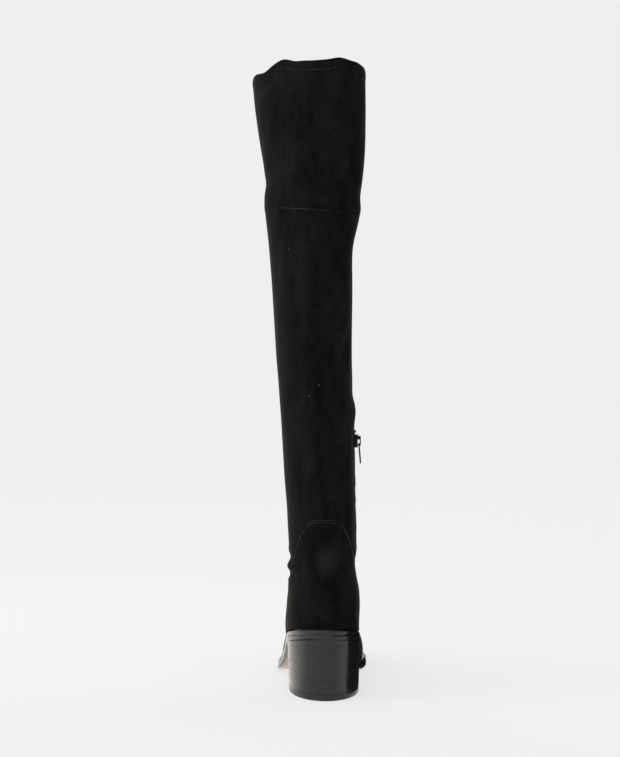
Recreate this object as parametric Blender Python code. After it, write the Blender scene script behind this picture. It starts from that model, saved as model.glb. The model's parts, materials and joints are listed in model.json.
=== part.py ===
"""Over-the-knee boot for the left foot, with a block heel and a zip on its inner side.

Lengths in the tables are millimetres. "forward" is the distance from the back of the heel
towards the toe, and "across" is positive towards the inner, medial side. In the scene the
toe points to +Y, the medial side to +X and the shaft to +Z. The origin is on the ground,
under the middle of the heel.
"""
import math
from typing import NamedTuple

import bmesh
import bpy
from mathutils import Vector

MM = 0.001
GAP = 0.3                   # clearance between pieces that touch
OVERLAY_GAP = 0.55          # the same for a panel whose facets cross the upper's

HEEL_CENTRE = 30.0          # from the back of the heel to the origin
SOLE_BACK = -1.5            # the sole's reach behind the heel's back edge
SOLE_TOE = 246.5            # the sole's toe end
SEAT_CENTRE = 3.3           # middle of the sole across, at the back
TOE_CENTRE = -5.0           # middle of the sole across, at the toe
END_ROUNDING = 0.8          # how bluntly the sole's outline closes at heel and toe

WALL = 1.8                  # suede and lining together
MIDSOLE_THICK = 4.2
OUTSOLE_THICK = 4.9
SOLE_EDGE_ROUNDING = 0.8
INSOLE_THICK = 2.5
UPPER_INSET = 3.4           # sole edge that shows beyond the upper at the ball
HEEL_INSET = 1.6            # the same at the heel
INSOLE_CLEARANCE = 1.5      # between its edge and the wall round it
INSOLE_END = 3.2            # the same with the wall, at heel and toe

LIFT_THICK = 6.0
HEEL_HALF_WIDTH = 34.0
HEEL_ROUND = 55.0           # depth of the heel's round back
HEEL_BACK = -3.0
HEEL_BREAST = 59.0
HEEL_ACROSS = 0.8           # the heel's middle against the origin
HEEL_TURN = 4.6             # degrees that the heel's axis is turned out
HEEL_FLARE = 1.03           # the heel's top against its foot

AROUND = 36                 # points round the upper
TOE_BOX_POWER = 2.5         # cross-section of the forefoot, 2 is an ellipse
HEEL_SHARE = (0.28, 0.58)   # shares of the length between which the heel's swell gives way
FOOT_ROWS = 10              # rows of SECTIONS that climb over the foot
KNEE_SEAM_STEP = 0.9        # how far the thigh panel laps over the leg panel
HEM_STEP = 0.6
HEM_WIDTH = 9.0
STEP_RISE = 1.2             # height over which a step comes out of the wall
STEP_FADE = 22.0            # height over which it runs out again

COUNTER_THICK = 0.9
COUNTER_TOP = 169.5         # height of the counter's arched top
COUNTER_BASE = 66.0
COUNTER_REACH = 84.0        # degrees round from the back seam where the arch meets the sole
COUNTER_SIDE_COLUMNS = 16   # half as far apart as the upper's, on each side
COUNTER_FOOT_ROW = 0.09
COUNTER_ARCH_ROUND = 2.2
COUNTER_ARCH_RISE = 1.3

ZIP_THICK = 1.1
ZIP_HALF_WIDTH = 2.7
ZIP_TOP = 254.0
ZIP_FOOT = 88.0
ZIP_ANGLE_TOP = -79.0       # degrees round from the back seam, medial side
ZIP_ANGLE_FOOT = -99.0

SLIDER_HEIGHT = 12.7
SLIDER_WIDTH = 8.0
SLIDER_THICK = 2.0
SLIDER_MIDDLE = 243.3       # height of the slider's middle
BRIDGE_WIDTH = 1.6
BRIDGE_BAR = 1.1
BRIDGE_HOLE = 1.9           # room between the slider's plate and its bridge
BRIDGE_HEIGHT = 9.6
BRIDGE_LEG = 1.2
PULL_BAR = 1.0
PULL_LENGTH = 19.0          # hinge to lower end
PULL_WIDTH = 5.4
PULL_NECK = 4.8
PULL_WINDOW_WIDTH = 2.6
PULL_WINDOW_LENGTH = 5.0
PULL_REST_ANGLE = 4.5       # degrees that the pull stands off the boot


class SoleLevel(NamedTuple):
    """Height of the midsole's top along the foot."""

    forward: float
    height: float


SOLE_LINE = (
    SoleLevel(-4.0, 67.3),
    SoleLevel(20.0, 62.5),
    SoleLevel(45.0, 57.4),
    SoleLevel(62.0, 54.0),
    SoleLevel(80.0, 45.6),
    SoleLevel(100.0, 33.6),
    SoleLevel(120.0, 21.9),
    SoleLevel(138.0, 13.4),
    SoleLevel(156.0, 9.4),
    SoleLevel(190.0, 9.4),
    SoleLevel(212.0, 10.6),
    SoleLevel(230.0, 13.2),
    SoleLevel(247.0, 16.6),
)


class Fullness(NamedTuple):
    """Half-width of the sole's outline before its ends are rounded."""

    along: float
    lateral: float
    medial: float


SOLE_OUTLINE = (
    Fullness(0.000, 33.0, 36.0),
    Fullness(0.075, 45.5, 41.5),
    Fullness(0.127, 46.0, 41.5),
    Fullness(0.188, 44.8, 39.7),
    Fullness(0.244, 43.9, 37.3),
    Fullness(0.330, 42.5, 31.0),
    Fullness(0.410, 42.5, 27.6),
    Fullness(0.490, 45.4, 29.0),
    Fullness(0.595, 50.9, 36.2),
    Fullness(0.670, 52.3, 43.0),
    Fullness(0.750, 51.8, 48.6),
    Fullness(0.830, 49.2, 51.0),
    Fullness(0.900, 44.6, 49.0),
    Fullness(0.958, 37.5, 42.5),
    Fullness(1.000, 31.0, 34.0),
)


class Section(NamedTuple):
    """One ring of the upper, from its back point to its front point.

    lateral, medial and seam are places across, of the shaft's oval and of its back point.
    cant lifts the medial side and drops the lateral one, turn carries the lateral side
    forward. The swells stand the wall out over the sole's outline, heel and toe, on each
    side. square is 1 for an elliptic oval and less for a squarer one. leg is 0 where the
    ring follows the last over the sole and 1 where it is a plain oval of the shaft.
    """

    back: float
    back_height: float
    front: float
    front_height: float
    lateral: float
    medial: float
    seam: float
    cant: float
    turn: float
    heel_lateral: float
    heel_medial: float
    toe_lateral: float
    toe_medial: float
    square: float
    leg: float


SECTIONS = (
    Section(1.5, 67.2, 243.0, 16.4, -37.0, 32.5, 2.5, 0.0, 0.0, -0.2, 1.0, -0.8, 0.4, 0.94, 0.0),
    Section(-0.8, 76.0, 244.8, 25.5, -37.4, 34.0, 2.5, 0.0, 0.0, 2.4, 0.9, -1.6, 0.8, 0.94, 0.0),
    Section(-1.7, 84.0, 238.5, 34.5, -37.0, 34.6, 2.4, 0.0, 0.0, 3.0, 1.5, -2.2, 1.4, 0.94, 0.08),
    Section(-1.0, 91.0, 223.0, 42.0, -36.2, 34.3, 2.3, 0.0, 0.0, 3.0, 2.2, -2.2, 1.8, 0.94, 0.2),
    Section(1.2, 98.0, 201.0, 49.5, -36.4, 34.2, 2.2, 0.0, 0.0, 3.0, 2.4, -1.8, 1.4, 0.94, 0.34),
    Section(4.4, 104.0, 178.0, 58.5, -36.8, 33.2, 2.1, 0.0, 0.0, 2.8, 2.2, -1.0, 0.8, 0.94, 0.5),
    Section(7.0, 110.5, 156.0, 70.8, -37.2, 32.0, 2.0, 0.0, 0.0, 2.4, 1.5, 0.0, 0.4, 0.94, 0.66),
    Section(8.4, 118.0, 136.0, 87.0, -36.4, 30.1, 1.9, 0.0, 0.0, 0.0, 0.0, 0.0, 0.0, 0.94, 0.82),
    Section(8.9, 128.0, 120.0, 107.0, -35.0, 29.0, 1.8, 0.0, 0.0, 0.0, 0.0, 0.0, 0.0, 0.94, 0.94),
    Section(8.8, 141.0, 109.5, 131.0, -35.6, 30.0, 1.7, 0.0, 0.0, 0.0, 0.0, 0.0, 0.0, 0.94, 1.0),
    Section(8.4, 156.0, 105.0, 153.0, -36.4, 29.8, 1.6, 0.0, 0.0, 0.0, 0.0, 0.0, 0.0, 0.94, 1.0),
    Section(8.0, 173.0, 103.5, 173.0, -37.1, 29.2, 1.5, 0.0, 0.0, 0.0, 0.0, 0.0, 0.0, 0.94, 1.0),
    Section(6.0, 208.0, 104.5, 208.0, -39.8, 28.4, 0.6, 0.0, 0.0, 0.0, 0.0, 0.0, 0.0, 0.94, 1.0),
    Section(3.5, 240.0, 107.0, 240.0, -41.7, 27.5, -1.0, 0.0, 0.0, 0.0, 0.0, 0.0, 0.0, 0.94, 1.0),
    Section(2.0, 256.0, 108.5, 256.0, -42.7, 28.5, -1.8, 0.0, 0.0, 0.0, 0.0, 0.0, 0.0, 0.94, 1.0),
    Section(0.5, 269.0, 110.0, 269.0, -43.7, 31.0, -2.5, 0.0, 0.0, 0.0, 0.0, 0.0, 0.0, 0.94, 1.0),
    Section(-1.5, 288.0, 111.0, 288.0, -45.0, 26.3, -3.5, 0.0, 0.0, 0.0, 0.0, 0.0, 0.0, 0.93, 1.0),
    Section(-3.0, 304.0, 112.0, 304.0, -46.0, 26.8, -4.0, 0.0, 0.0, 0.0, 0.0, 0.0, 0.0, 0.93, 1.0),
    Section(-6.0, 336.0, 114.0, 336.0, -48.5, 25.9, -5.0, 0.0, 0.0, 0.0, 0.0, 0.0, 0.0, 0.92, 1.0),
    Section(-7.0, 373.0, 114.0, 373.0, -50.6, 26.3, -5.8, 0.0, 0.0, 0.0, 0.0, 0.0, 0.0, 0.91, 1.0),
    Section(-5.0, 403.0, 113.0, 403.0, -52.8, 27.2, -6.5, 0.0, 0.0, 0.0, 0.0, 0.0, 0.0, 0.9, 1.0),
    Section(-3.0, 430.0, 112.0, 430.0, -54.4, 25.6, -7.2, 0.0, 0.0, 0.0, 0.0, 0.0, 0.0, 0.9, 1.0),
    Section(-1.8, 450.0, 113.0, 450.0, -57.2, 32.6, -7.8, 0.0, 0.0, 0.0, 0.0, 0.0, 0.0, 0.89, 1.0),
    Section(-1.2, 466.0, 115.0, 466.0, -58.8, 34.9, -8.0, 0.0, 0.0, 0.0, 0.0, 0.0, 0.0, 0.88, 1.0),
    Section(-1.8, 478.0, 117.0, 478.0, -59.8, 34.3, -8.0, 0.0, 0.0, 0.0, 0.0, 0.0, 0.0, 0.88, 1.0),
    Section(-3.2, 496.0, 120.0, 496.0, -57.9, 36.8, -7.8, 0.0, 0.0, 0.0, 0.0, 0.0, 0.0, 0.88, 1.0),
    Section(-4.6, 510.0, 122.0, 510.0, -60.6, 38.8, -7.8, 0.0, 0.02, 0.0, 0.0, 0.0, 0.0, 0.87, 1.0),
    Section(-7.0, 538.0, 125.0, 538.0, -64.5, 40.3, -8.0, 0.2, 0.04, 0.0, 0.0, 0.0, 0.0, 0.86, 1.0),
    Section(-9.0, 570.0, 128.0, 570.0, -69.6, 40.0, -8.5, 0.6, 0.08, 0.0, 0.0, 0.0, 0.0, 0.84, 1.0),
    Section(-11.0, 601.6, 130.0, 600.0, -71.6, 39.0, -9.0, 1.6, 0.16, 0.0, 0.0, 0.0, 0.0, 0.86, 1.0),
)
KNEE_SEAM_ROW = 23
TOP_LINE_GUIDES = ((100.0, 190.0), (85.0, 330.0), (60.0, 700.0))


def smooth_value(knots, values, at):
    """Read a value off a smooth curve through a table, with no overshoot between rows."""
    last = len(knots) - 1
    if at <= knots[0]:
        return values[0]
    if at >= knots[last]:
        return values[last]
    row = max(i for i in range(last) if knots[i] <= at)

    def slope(i):
        if i == 0 or i == last:
            j = min(i, last - 1)
            return (values[j + 1] - values[j]) / (knots[j + 1] - knots[j])
        before = (values[i] - values[i - 1]) / (knots[i] - knots[i - 1])
        after = (values[i + 1] - values[i]) / (knots[i + 1] - knots[i])
        if before * after <= 0.0:
            return 0.0
        return 2.0 * before * after / (before + after)

    span = knots[row + 1] - knots[row]
    u = (at - knots[row]) / span
    rise = values[row + 1] - values[row]
    start, end = slope(row) * span, slope(row + 1) * span
    return values[row] + u * (start + u * (3.0 * rise - 2.0 * start - end
                                           + u * (start + end - 2.0 * rise)))


def read_column(table, key, column, at):
    """One column of a table of named rows, read at a value of its key column."""
    knots = [getattr(row, key) for row in table]
    values = [getattr(row, column) for row in table]
    return smooth_value(knots, values, at)


def sole_height(forward):
    """Height of the midsole's top."""
    return read_column(SOLE_LINE, "forward", "height", forward)


def top_line_height(forward):
    """Height of the vamp's ridge, far above the foot where the shaft stands over it."""
    fronts = [(row.front, row.front_height) for row in SECTIONS[1:FOOT_ROWS]]
    line = sorted(fronts + list(TOP_LINE_GUIDES))
    return smooth_value([p[0] for p in line], [p[1] for p in line], forward)


def place(across, forward, height):
    """A point in metres in the scene."""
    return Vector((across * MM, (forward - HEEL_CENTRE) * MM, height * MM))


def sole_edge(along, side):
    """Half-width of the sole's outline at a share of its length, closed at both ends."""
    along = min(max(along, 0.0), 1.0)
    closing = (2.0 * math.sqrt(along * (1.0 - along))) ** END_ROUNDING
    return read_column(SOLE_OUTLINE, "along", side, along) * closing


def sole_centre(along):
    """Middle of the sole across, at a share of its length."""
    return SEAT_CENTRE + (TOE_CENTRE - SEAT_CENTRE) * min(max(along, 0.0), 1.0)


def section_at(step):
    """The upper's section at a row number, or between two rows."""
    rows = list(range(len(SECTIONS)))
    return Section(*(smooth_value(rows, [row[i] for row in SECTIONS], step)
                     for i in range(len(Section._fields))))


def upper_point(step, angle):
    """A point of the upper's outer face.

    step is a row number of SECTIONS. angle is 0 at the back seam and pi at the front, and
    runs round by the lateral side.
    """
    row = section_at(step)
    share = 0.5 * (1.0 - math.cos(angle))
    forward = row.back + (row.front - row.back) * share
    side = "lateral" if math.sin(angle) > 0.0 else "medial"
    reach = math.sin(angle)

    level = row.back_height + (row.front_height - row.back_height) * share
    above_back = row.back_height - sole_height(row.back)
    above_front = row.front_height - sole_height(row.front)
    on_last = sole_height(forward) + above_back + (above_front - above_back) * share
    height = on_last + (level - on_last) * row.leg - row.cant * reach

    middle = 0.5 * (row.lateral + row.medial)
    centre = row.seam + 2.0 * (middle - row.seam) * share
    width = 0.5 * (row.medial - row.lateral)
    oval = centre - math.copysign(width * abs(reach) ** row.square, reach)

    toe = row.front if step < 1.0 else SECTIONS[1].front
    along = (forward - row.back) / (toe - row.back)
    inset = HEEL_INSET + (UPPER_INSET - HEEL_INSET) * min(1.0, 2.0 * along)
    fore = min(max((along - HEEL_SHARE[0]) / (HEEL_SHARE[1] - HEEL_SHARE[0]), 0.0), 1.0)
    fore *= fore * (3.0 - 2.0 * fore)
    heel, ball = (row.heel_lateral, row.toe_lateral) if side == "lateral" \
        else (row.heel_medial, row.toe_medial)
    swell = heel + (ball - heel) * fore
    half = sole_edge(along, side) + (swell - inset) * math.sqrt(abs(reach))
    top = top_line_height(forward)
    sole = sole_height(forward)
    climb = min(max((height - sole) / max(top - sole, 1.0), 0.0), 1.0) if step > 0.0 else 0.0
    half *= (1.0 - climb ** TOE_BOX_POWER) ** 0.5
    last = sole_centre(along) - math.copysign(max(half, 0.0), reach)
    if abs(reach) < 1e-6:
        last = sole_centre(along)
    forward += row.turn * (centre - oval)
    return Vector((last + (oval - last) * row.leg, forward, height))


def upper_face(step, angle, out=0.0):
    """A point that stands off the upper's outer face, in metres in the scene."""
    point = upper_point(step, angle)
    if out:
        turn, climb = 0.02, 0.05
        low, high = max(step - climb, 0.0), min(step + climb, len(SECTIONS) - 1.0)
        around = upper_point(step, angle + turn) - upper_point(step, angle - turn)
        up = upper_point(high, angle) - upper_point(low, angle)
        point = point + up.cross(around).normalized() * out
    return place(*point)


def upper_skin(step, angle, out):
    """A point that stands off the flat facets between the upper's rings, in metres."""
    steps = [ring_step for ring_step, _ in upper_rings()]
    row = max(i for i in range(len(steps) - 1) if steps[i] <= step)
    turn = 2.0 * math.pi / AROUND
    column = math.floor(angle / turn)
    up = (step - steps[row]) / (steps[row + 1] - steps[row])
    along = angle / turn - column
    lower, upper = (upper_point(s, column * turn).lerp(upper_point(s, (column + 1) * turn), along)
                    for s in steps[row:row + 2])
    stand_off = upper_face(step, angle, out) - upper_face(step, angle)
    return place(*lower.lerp(upper, up)) + stand_off


def step_at_height(height, angle):
    """Row number at which the upper reaches a height, at an angle round it."""
    low, high = 0.0, len(SECTIONS) - 1.0
    for _ in range(30):
        middle = 0.5 * (low + high)
        if upper_point(middle, angle).z < height:
            low = middle
        else:
            high = middle
    return 0.5 * (low + high)


def material(name, color, roughness, metallic=0.0):
    """A Principled material."""
    made = bpy.data.materials.new(name)
    made.use_nodes = True
    made.diffuse_color = (*color, 1.0)
    shader = made.node_tree.nodes["Principled BSDF"]
    shader.inputs["Base Color"].default_value = (*color, 1.0)
    shader.inputs["Roughness"].default_value = roughness
    shader.inputs["Metallic"].default_value = metallic
    return made


def add_object(name, bm, finish, smooth_angle=35.0):
    """Turn a bmesh into a named object with its material."""
    if not any(edge.is_boundary for edge in bm.edges):
        bmesh.ops.recalc_face_normals(bm, faces=bm.faces)
    mesh = bpy.data.meshes.new(name)
    bm.to_mesh(mesh)
    bm.free()
    mesh.shade_smooth()
    mesh.set_sharp_from_angle(angle=math.radians(smooth_angle))
    mesh.materials.append(finish)
    made = bpy.data.objects.new(name, mesh)
    bpy.context.collection.objects.link(made)
    return made


def loft(bm, rings, closed=True, caps=False):
    """Skin a list of rings that have the same number of points.

    An open skin faces outwards where its rings run clockwise, seen from the last of them.
    """
    made = [[bm.verts.new(point) for point in ring] for ring in rings]
    count = len(made[0])
    for lower, upper in zip(made, made[1:]):
        for k in range(count if closed else count - 1):
            after = (k + 1) % count
            bm.faces.new((upper[k], upper[after], lower[after], lower[k]))
    if caps:
        bm.faces.new(made[0])
        bm.faces.new(reversed(made[-1]))


def thicken(target, thickness, outwards):
    """Give an open skin its wall with a Solidify modifier."""
    wall = target.modifiers.new("wall", "SOLIDIFY")
    wall.thickness = thickness * MM
    wall.offset = 1.0 if outwards else -1.0
    wall.use_even_offset = True
    wall.use_rim = True


def upper_rings():
    """Row numbers of the upper's rings, each with its step out of the wall."""
    last = len(SECTIONS) - 1
    seam_height = SECTIONS[KNEE_SEAM_ROW].back_height
    after_seam = SECTIONS[KNEE_SEAM_ROW + 1].back_height - seam_height
    top_gap = SECTIONS[last].back_height - SECTIONS[last - 1].back_height
    hem = last - HEM_WIDTH / top_gap
    rings = [(float(i), 0.0) for i in range(KNEE_SEAM_ROW + 1)]
    rings.append((KNEE_SEAM_ROW + STEP_RISE / after_seam, KNEE_SEAM_STEP))
    for i in range(KNEE_SEAM_ROW + 1, last):
        risen = SECTIONS[i].back_height - seam_height
        rings.append((float(i), KNEE_SEAM_STEP * max(0.0, 1.0 - risen / STEP_FADE)))
    rings.append((hem, 0.0))
    rings.append((hem + STEP_RISE / top_gap, HEM_STEP))
    rings.append((float(last), HEM_STEP))
    between = [(1.5, 0.0), (2.5, 0.0), (11.5, 0.0), (12.5, 0.0), (0.5, 0.0)]
    return sorted(rings + between)


def build_upper(finish):
    """Vamp and shaft: one hollow wall, open at the collar and underneath."""
    bm = bmesh.new()
    angles = [2.0 * math.pi * k / AROUND for k in range(AROUND)]
    loft(bm, [[upper_face(step, angle, out) for angle in angles]
              for step, out in upper_rings()])
    made = add_object("upper", bm, finish)
    thicken(made, WALL, outwards=False)
    return made


def counter_top(turn):
    """Row number of the counter's arched edge, at some degrees round from the back seam."""
    arch = 1.0 - (abs(turn) / COUNTER_REACH) ** COUNTER_ARCH_ROUND
    height = COUNTER_BASE + (COUNTER_TOP - COUNTER_BASE) * arch ** (1.0 / COUNTER_ARCH_RISE)
    return step_at_height(height, math.radians(turn))


def overlay_steps(low, high):
    """Row numbers for an overlay between two rows: its ends and the rings between them."""
    clear = 0.2
    rings = [step for step, _ in upper_rings() if low + clear < step < high - clear]
    return [low, *rings, high]


def build_counter(finish):
    """Heel counter: an arched panel laid over the back of the upper."""
    bm = bmesh.new()
    columns = []
    for k in range(-COUNTER_SIDE_COLUMNS, COUNTER_SIDE_COLUMNS + 1):
        turn = -180.0 / AROUND * k
        angle = math.radians(turn)
        columns.append([bm.verts.new(upper_skin(step, angle, OVERLAY_GAP))
                        for step in overlay_steps(COUNTER_FOOT_ROW, counter_top(turn))])
    for before, after in zip(columns, columns[1:]):
        shared = min(len(before), len(after)) - 1
        for i in range(shared):
            bm.faces.new((before[i], after[i], after[i + 1], before[i + 1]))
        for i in range(shared, len(before) - 1):
            bm.faces.new((before[i], after[shared], before[i + 1]))
        for i in range(shared, len(after) - 1):
            bm.faces.new((before[shared], after[i], after[i + 1]))
    made = add_object("counter", bm, finish)
    thicken(made, COUNTER_THICK, outwards=True)
    return made


def zip_angle(height):
    """Degrees round from the back seam at which the zip runs."""
    share = (height - ZIP_FOOT) / (ZIP_TOP - ZIP_FOOT)
    return ZIP_ANGLE_FOOT + (ZIP_ANGLE_TOP - ZIP_ANGLE_FOOT) * share


def build_zip(finish):
    """The closed chain of teeth, laid on the medial side from ankle to calf."""
    bm = bmesh.new()
    rows = []
    foot, top = (step_at_height(height, math.radians(zip_angle(height)))
                 for height in (ZIP_FOOT, ZIP_TOP))
    for step in overlay_steps(foot, top):
        height = upper_point(step, math.radians(ZIP_ANGLE_TOP)).z
        middle = math.radians(zip_angle(height))
        row = section_at(step)
        spread = 2.0 * ZIP_HALF_WIDTH / (row.front - row.back)
        rows.append([upper_skin(step, middle + turn * spread, OVERLAY_GAP)
                     for turn in (-1.0, 0.0, 1.0)])
    loft(bm, rows, closed=False)
    made = add_object("zip", bm, finish)
    thicken(made, ZIP_THICK, outwards=True)
    return made


def plate_ring(along, back, toe, trim, top_drop, bottom_drop):
    """Cross-section of a sole plate: its two edges, top and bottom."""
    forward = back + (toe - back) * along
    closing = math.sqrt(2.0 * math.sqrt(along * (1.0 - along)))
    centre = sole_centre(along)
    lateral = centre - sole_edge(along, "lateral") + trim * closing
    medial = centre + sole_edge(along, "medial") - trim * closing
    top = sole_height(forward) - top_drop
    bottom = sole_height(forward) - bottom_drop
    round_off = min(SOLE_EDGE_ROUNDING, 0.25 * (medial - lateral))
    return [place(lateral + round_off, forward, top),
            place(medial - round_off, forward, top),
            place(medial, forward, top - round_off),
            place(medial, forward, bottom + round_off),
            place(medial - round_off, forward, bottom),
            place(lateral + round_off, forward, bottom),
            place(lateral, forward, bottom + round_off),
            place(lateral, forward, top - round_off)]


def build_plate(name, finish, back, toe, trim, top_drop, thick, stations=34):
    """A layer of the sole that follows its line, from heel to toe."""
    bm = bmesh.new()
    shares = [0.5 * (1.0 - math.cos(math.pi * (k + 0.35) / (stations - 0.3)))
              for k in range(stations)]
    loft(bm, [plate_ring(share, back, toe, trim, top_drop, top_drop + thick)
              for share in shares], caps=True)
    return add_object(name, bm, finish)


def heel_outline(scale=1.0):
    """The heel's D-shaped outline in plan: a half ellipse that runs on to a flat breast."""
    half = HEEL_HALF_WIDTH * scale
    turn = math.radians(HEEL_TURN)
    arc = 22
    outline = [(half * math.cos(math.pi * k / arc),
                HEEL_BACK + HEEL_ROUND * (1.0 - scale * math.sin(math.pi * k / arc)))
               for k in range(arc + 1)]
    outline.append((-half, HEEL_BREAST))
    outline.append((half, HEEL_BREAST))
    turned = []
    for across, forward in outline:
        from_back = forward - HEEL_CENTRE
        turned.append((across * math.cos(turn) - from_back * math.sin(turn) + HEEL_ACROSS,
                       HEEL_CENTRE + from_back * math.cos(turn) + across * math.sin(turn)))
    return turned


def build_heel(finish):
    """The stacked block between the top lift and the sloping seat."""
    bm = bmesh.new()
    seat_drop = MIDSOLE_THICK + OUTSOLE_THICK + 2.0 * GAP
    foot = [place(across, forward, LIFT_THICK + GAP) for across, forward in heel_outline()]
    back, breast = SOLE_LINE[0], SOLE_LINE[3]
    slope = (breast.height - back.height) / (breast.forward - back.forward)
    seat = [place(across, forward,
                  back.height + slope * (forward - back.forward) - seat_drop)
            for across, forward in heel_outline(HEEL_FLARE)]
    loft(bm, [foot, seat], caps=True)
    return add_object("heel", bm, finish)


def build_top_lift(finish):
    """The rubber piece that the heel stands on."""
    bm = bmesh.new()
    rings = [(0.0, 0.988), (0.6, 1.0), (LIFT_THICK, 1.0)]
    loft(bm, [[place(across, forward, height) for across, forward in heel_outline(scale)]
              for height, scale in rings], caps=True)
    return add_object("top_lift", bm, finish)


def box(bm, low, high):
    """A box between two corners, in metres."""
    made = bmesh.ops.create_cube(bm, size=1.0)["verts"]
    middle = (low + high) / 2.0
    bmesh.ops.scale(bm, vec=high - low, verts=made)
    bmesh.ops.translate(bm, vec=middle, verts=made)


def boolean(target, cutter, operation):
    """Join or cut with a second object, which stays as a hidden guide."""
    cutter.hide_render = True
    cutter.display_type = "WIRE"
    cut = target.modifiers.new(operation.lower(), "BOOLEAN")
    cut.operation = operation
    cut.object = cutter
    cut.solver = "EXACT"


def slider_seat():
    """Middle of the slider's back face, in metres."""
    angle = math.radians(zip_angle(SLIDER_MIDDLE))
    step = step_at_height(SLIDER_MIDDLE, angle)
    return upper_skin(step, angle, OVERLAY_GAP + ZIP_THICK + GAP)


def build_slider(finish):
    """The slider's plate with the bridge that carries the pull."""
    seat = slider_seat()
    half_high, half_wide = SLIDER_HEIGHT * MM / 2.0, SLIDER_WIDTH * MM / 2.0
    bm = bmesh.new()
    box(bm, seat + Vector((0.0, -half_wide, -half_high)),
        seat + Vector((SLIDER_THICK * MM, half_wide, half_high)))
    upright = [edge for edge in bm.edges
               if abs(edge.verts[0].co.x - edge.verts[1].co.x) > 0.5 * SLIDER_THICK * MM]
    bmesh.ops.bevel(bm, geom=upright, offset=1.8 * MM, segments=2, profile=0.5,
                    affect="EDGES", material=-1)
    plate = add_object("zip_slider", bm, finish)

    inner = seat.x + (SLIDER_THICK - 0.4) * MM
    gap_end = seat.x + (SLIDER_THICK + BRIDGE_HOLE) * MM
    outer = gap_end + BRIDGE_BAR * MM
    low, high = seat.z - BRIDGE_HEIGHT * MM / 2.0, seat.z + BRIDGE_HEIGHT * MM / 2.0
    leg, chamfer = BRIDGE_LEG * MM, 0.7 * MM
    arch = [(inner, low), (outer - chamfer, low), (outer, low + chamfer),
            (outer, high - chamfer), (outer - chamfer, high), (inner, high),
            (inner, high - leg), (gap_end, high - leg), (gap_end, low + leg),
            (inner, low + leg)]
    bm = bmesh.new()
    sides = [[Vector((x, seat.y + y * BRIDGE_WIDTH * MM / 2.0, z)) for x, z in arch]
             for y in (-1.0, 1.0)]
    loft(bm, sides, caps=True)
    bridge = add_object("zip_bridge_guide", bm, finish)
    boolean(plate, bridge, "UNION")
    return plate


def pull_hinge():
    """Middle of the pull's bar inside the slider's bridge, in metres."""
    seat = slider_seat()
    low = seat.z - BRIDGE_HEIGHT * MM / 2.0 + BRIDGE_LEG * MM
    return Vector((seat.x + (SLIDER_THICK + BRIDGE_HOLE / 2.0) * MM, seat.y,
                   low + (GAP + PULL_BAR / 2.0) * MM))


def build_pull(finish):
    """The pull tab, hung by the bar at the top of its window."""
    half = PULL_BAR / 2.0
    outline = [(-PULL_NECK / 2.0, half - 0.4), (-PULL_NECK / 2.0 + 0.4, half),
               (PULL_NECK / 2.0 - 0.4, half), (PULL_NECK / 2.0, half - 0.4),
               (PULL_NECK / 2.0, -PULL_WINDOW_LENGTH), (PULL_WIDTH / 2.0, -PULL_LENGTH + 2.0),
               (PULL_WIDTH / 2.0 - 1.2, -PULL_LENGTH), (-PULL_WIDTH / 2.0 + 1.2, -PULL_LENGTH),
               (-PULL_WIDTH / 2.0, -PULL_LENGTH + 2.0), (-PULL_NECK / 2.0, -PULL_WINDOW_LENGTH)]
    bm = bmesh.new()
    faces = [[Vector((side * half, y, z)) * MM for y, z in outline] for side in (-1.0, 1.0)]
    loft(bm, faces, caps=True)
    pull = add_object("zip_pull", bm, finish)
    bm = bmesh.new()
    box(bm, Vector((-2.0, -PULL_WINDOW_WIDTH / 2.0, -PULL_WINDOW_LENGTH)) * MM,
        Vector((2.0, PULL_WINDOW_WIDTH / 2.0, -half)) * MM)
    window = add_object("zip_window_guide", bm, finish)
    window.parent = pull
    boolean(pull, window, "DIFFERENCE")
    pull.location = pull_hinge()
    pull.rotation_euler = (0.0, -math.radians(PULL_REST_ANGLE), 0.0)
    return pull


def clear_scene():
    """Remove every object of the starting scene."""
    for old in list(bpy.data.objects):
        bpy.data.objects.remove(old, do_unlink=True)


def main():
    """Build the boot's pieces from the sole up."""
    clear_scene()
    suede = material("black_suede", (0.012, 0.011, 0.011), 0.95)
    leather_edge = material("black_edge", (0.02, 0.02, 0.02), 0.3)
    sole_leather = material("natural_sole_leather", (0.45, 0.27, 0.14), 0.6)
    stacked = material("black_stacked_leather", (0.015, 0.014, 0.014), 0.2)
    rubber = material("black_rubber", (0.02, 0.02, 0.02), 0.6)
    lining = material("insole_leather", (0.05, 0.045, 0.04), 0.7)
    chain = material("black_zip", (0.02, 0.02, 0.022), 0.5, 0.6)
    metal = material("black_metal", (0.03, 0.03, 0.032), 0.3, 0.9)

    build_top_lift(rubber)
    build_heel(stacked)
    outsole_top = MIDSOLE_THICK + GAP
    build_plate("outsole", sole_leather, SOLE_BACK, SOLE_TOE, 0.0, outsole_top, OUTSOLE_THICK)
    build_plate("midsole", leather_edge, SOLE_BACK, SOLE_TOE, 0.4, 0.0, MIDSOLE_THICK)
    build_plate("insole", lining, SECTIONS[0].back + INSOLE_END, SECTIONS[0].front - INSOLE_END,
                UPPER_INSET + WALL + INSOLE_CLEARANCE, -INSOLE_THICK - GAP, INSOLE_THICK)
    build_upper(suede)
    build_counter(suede)
    build_zip(chain)
    build_slider(metal)
    build_pull(metal)


main()
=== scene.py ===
"""Dressed model of a left over-the-knee boot in black suede with a glossed block heel."""

from __future__ import annotations

import json
import logging
import math
import random
from collections.abc import Callable
from dataclasses import dataclass, field
from enum import Enum

import bmesh
import bpy
from mathutils import Matrix, Vector, noise
from mathutils.bvhtree import BVHTree

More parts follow.
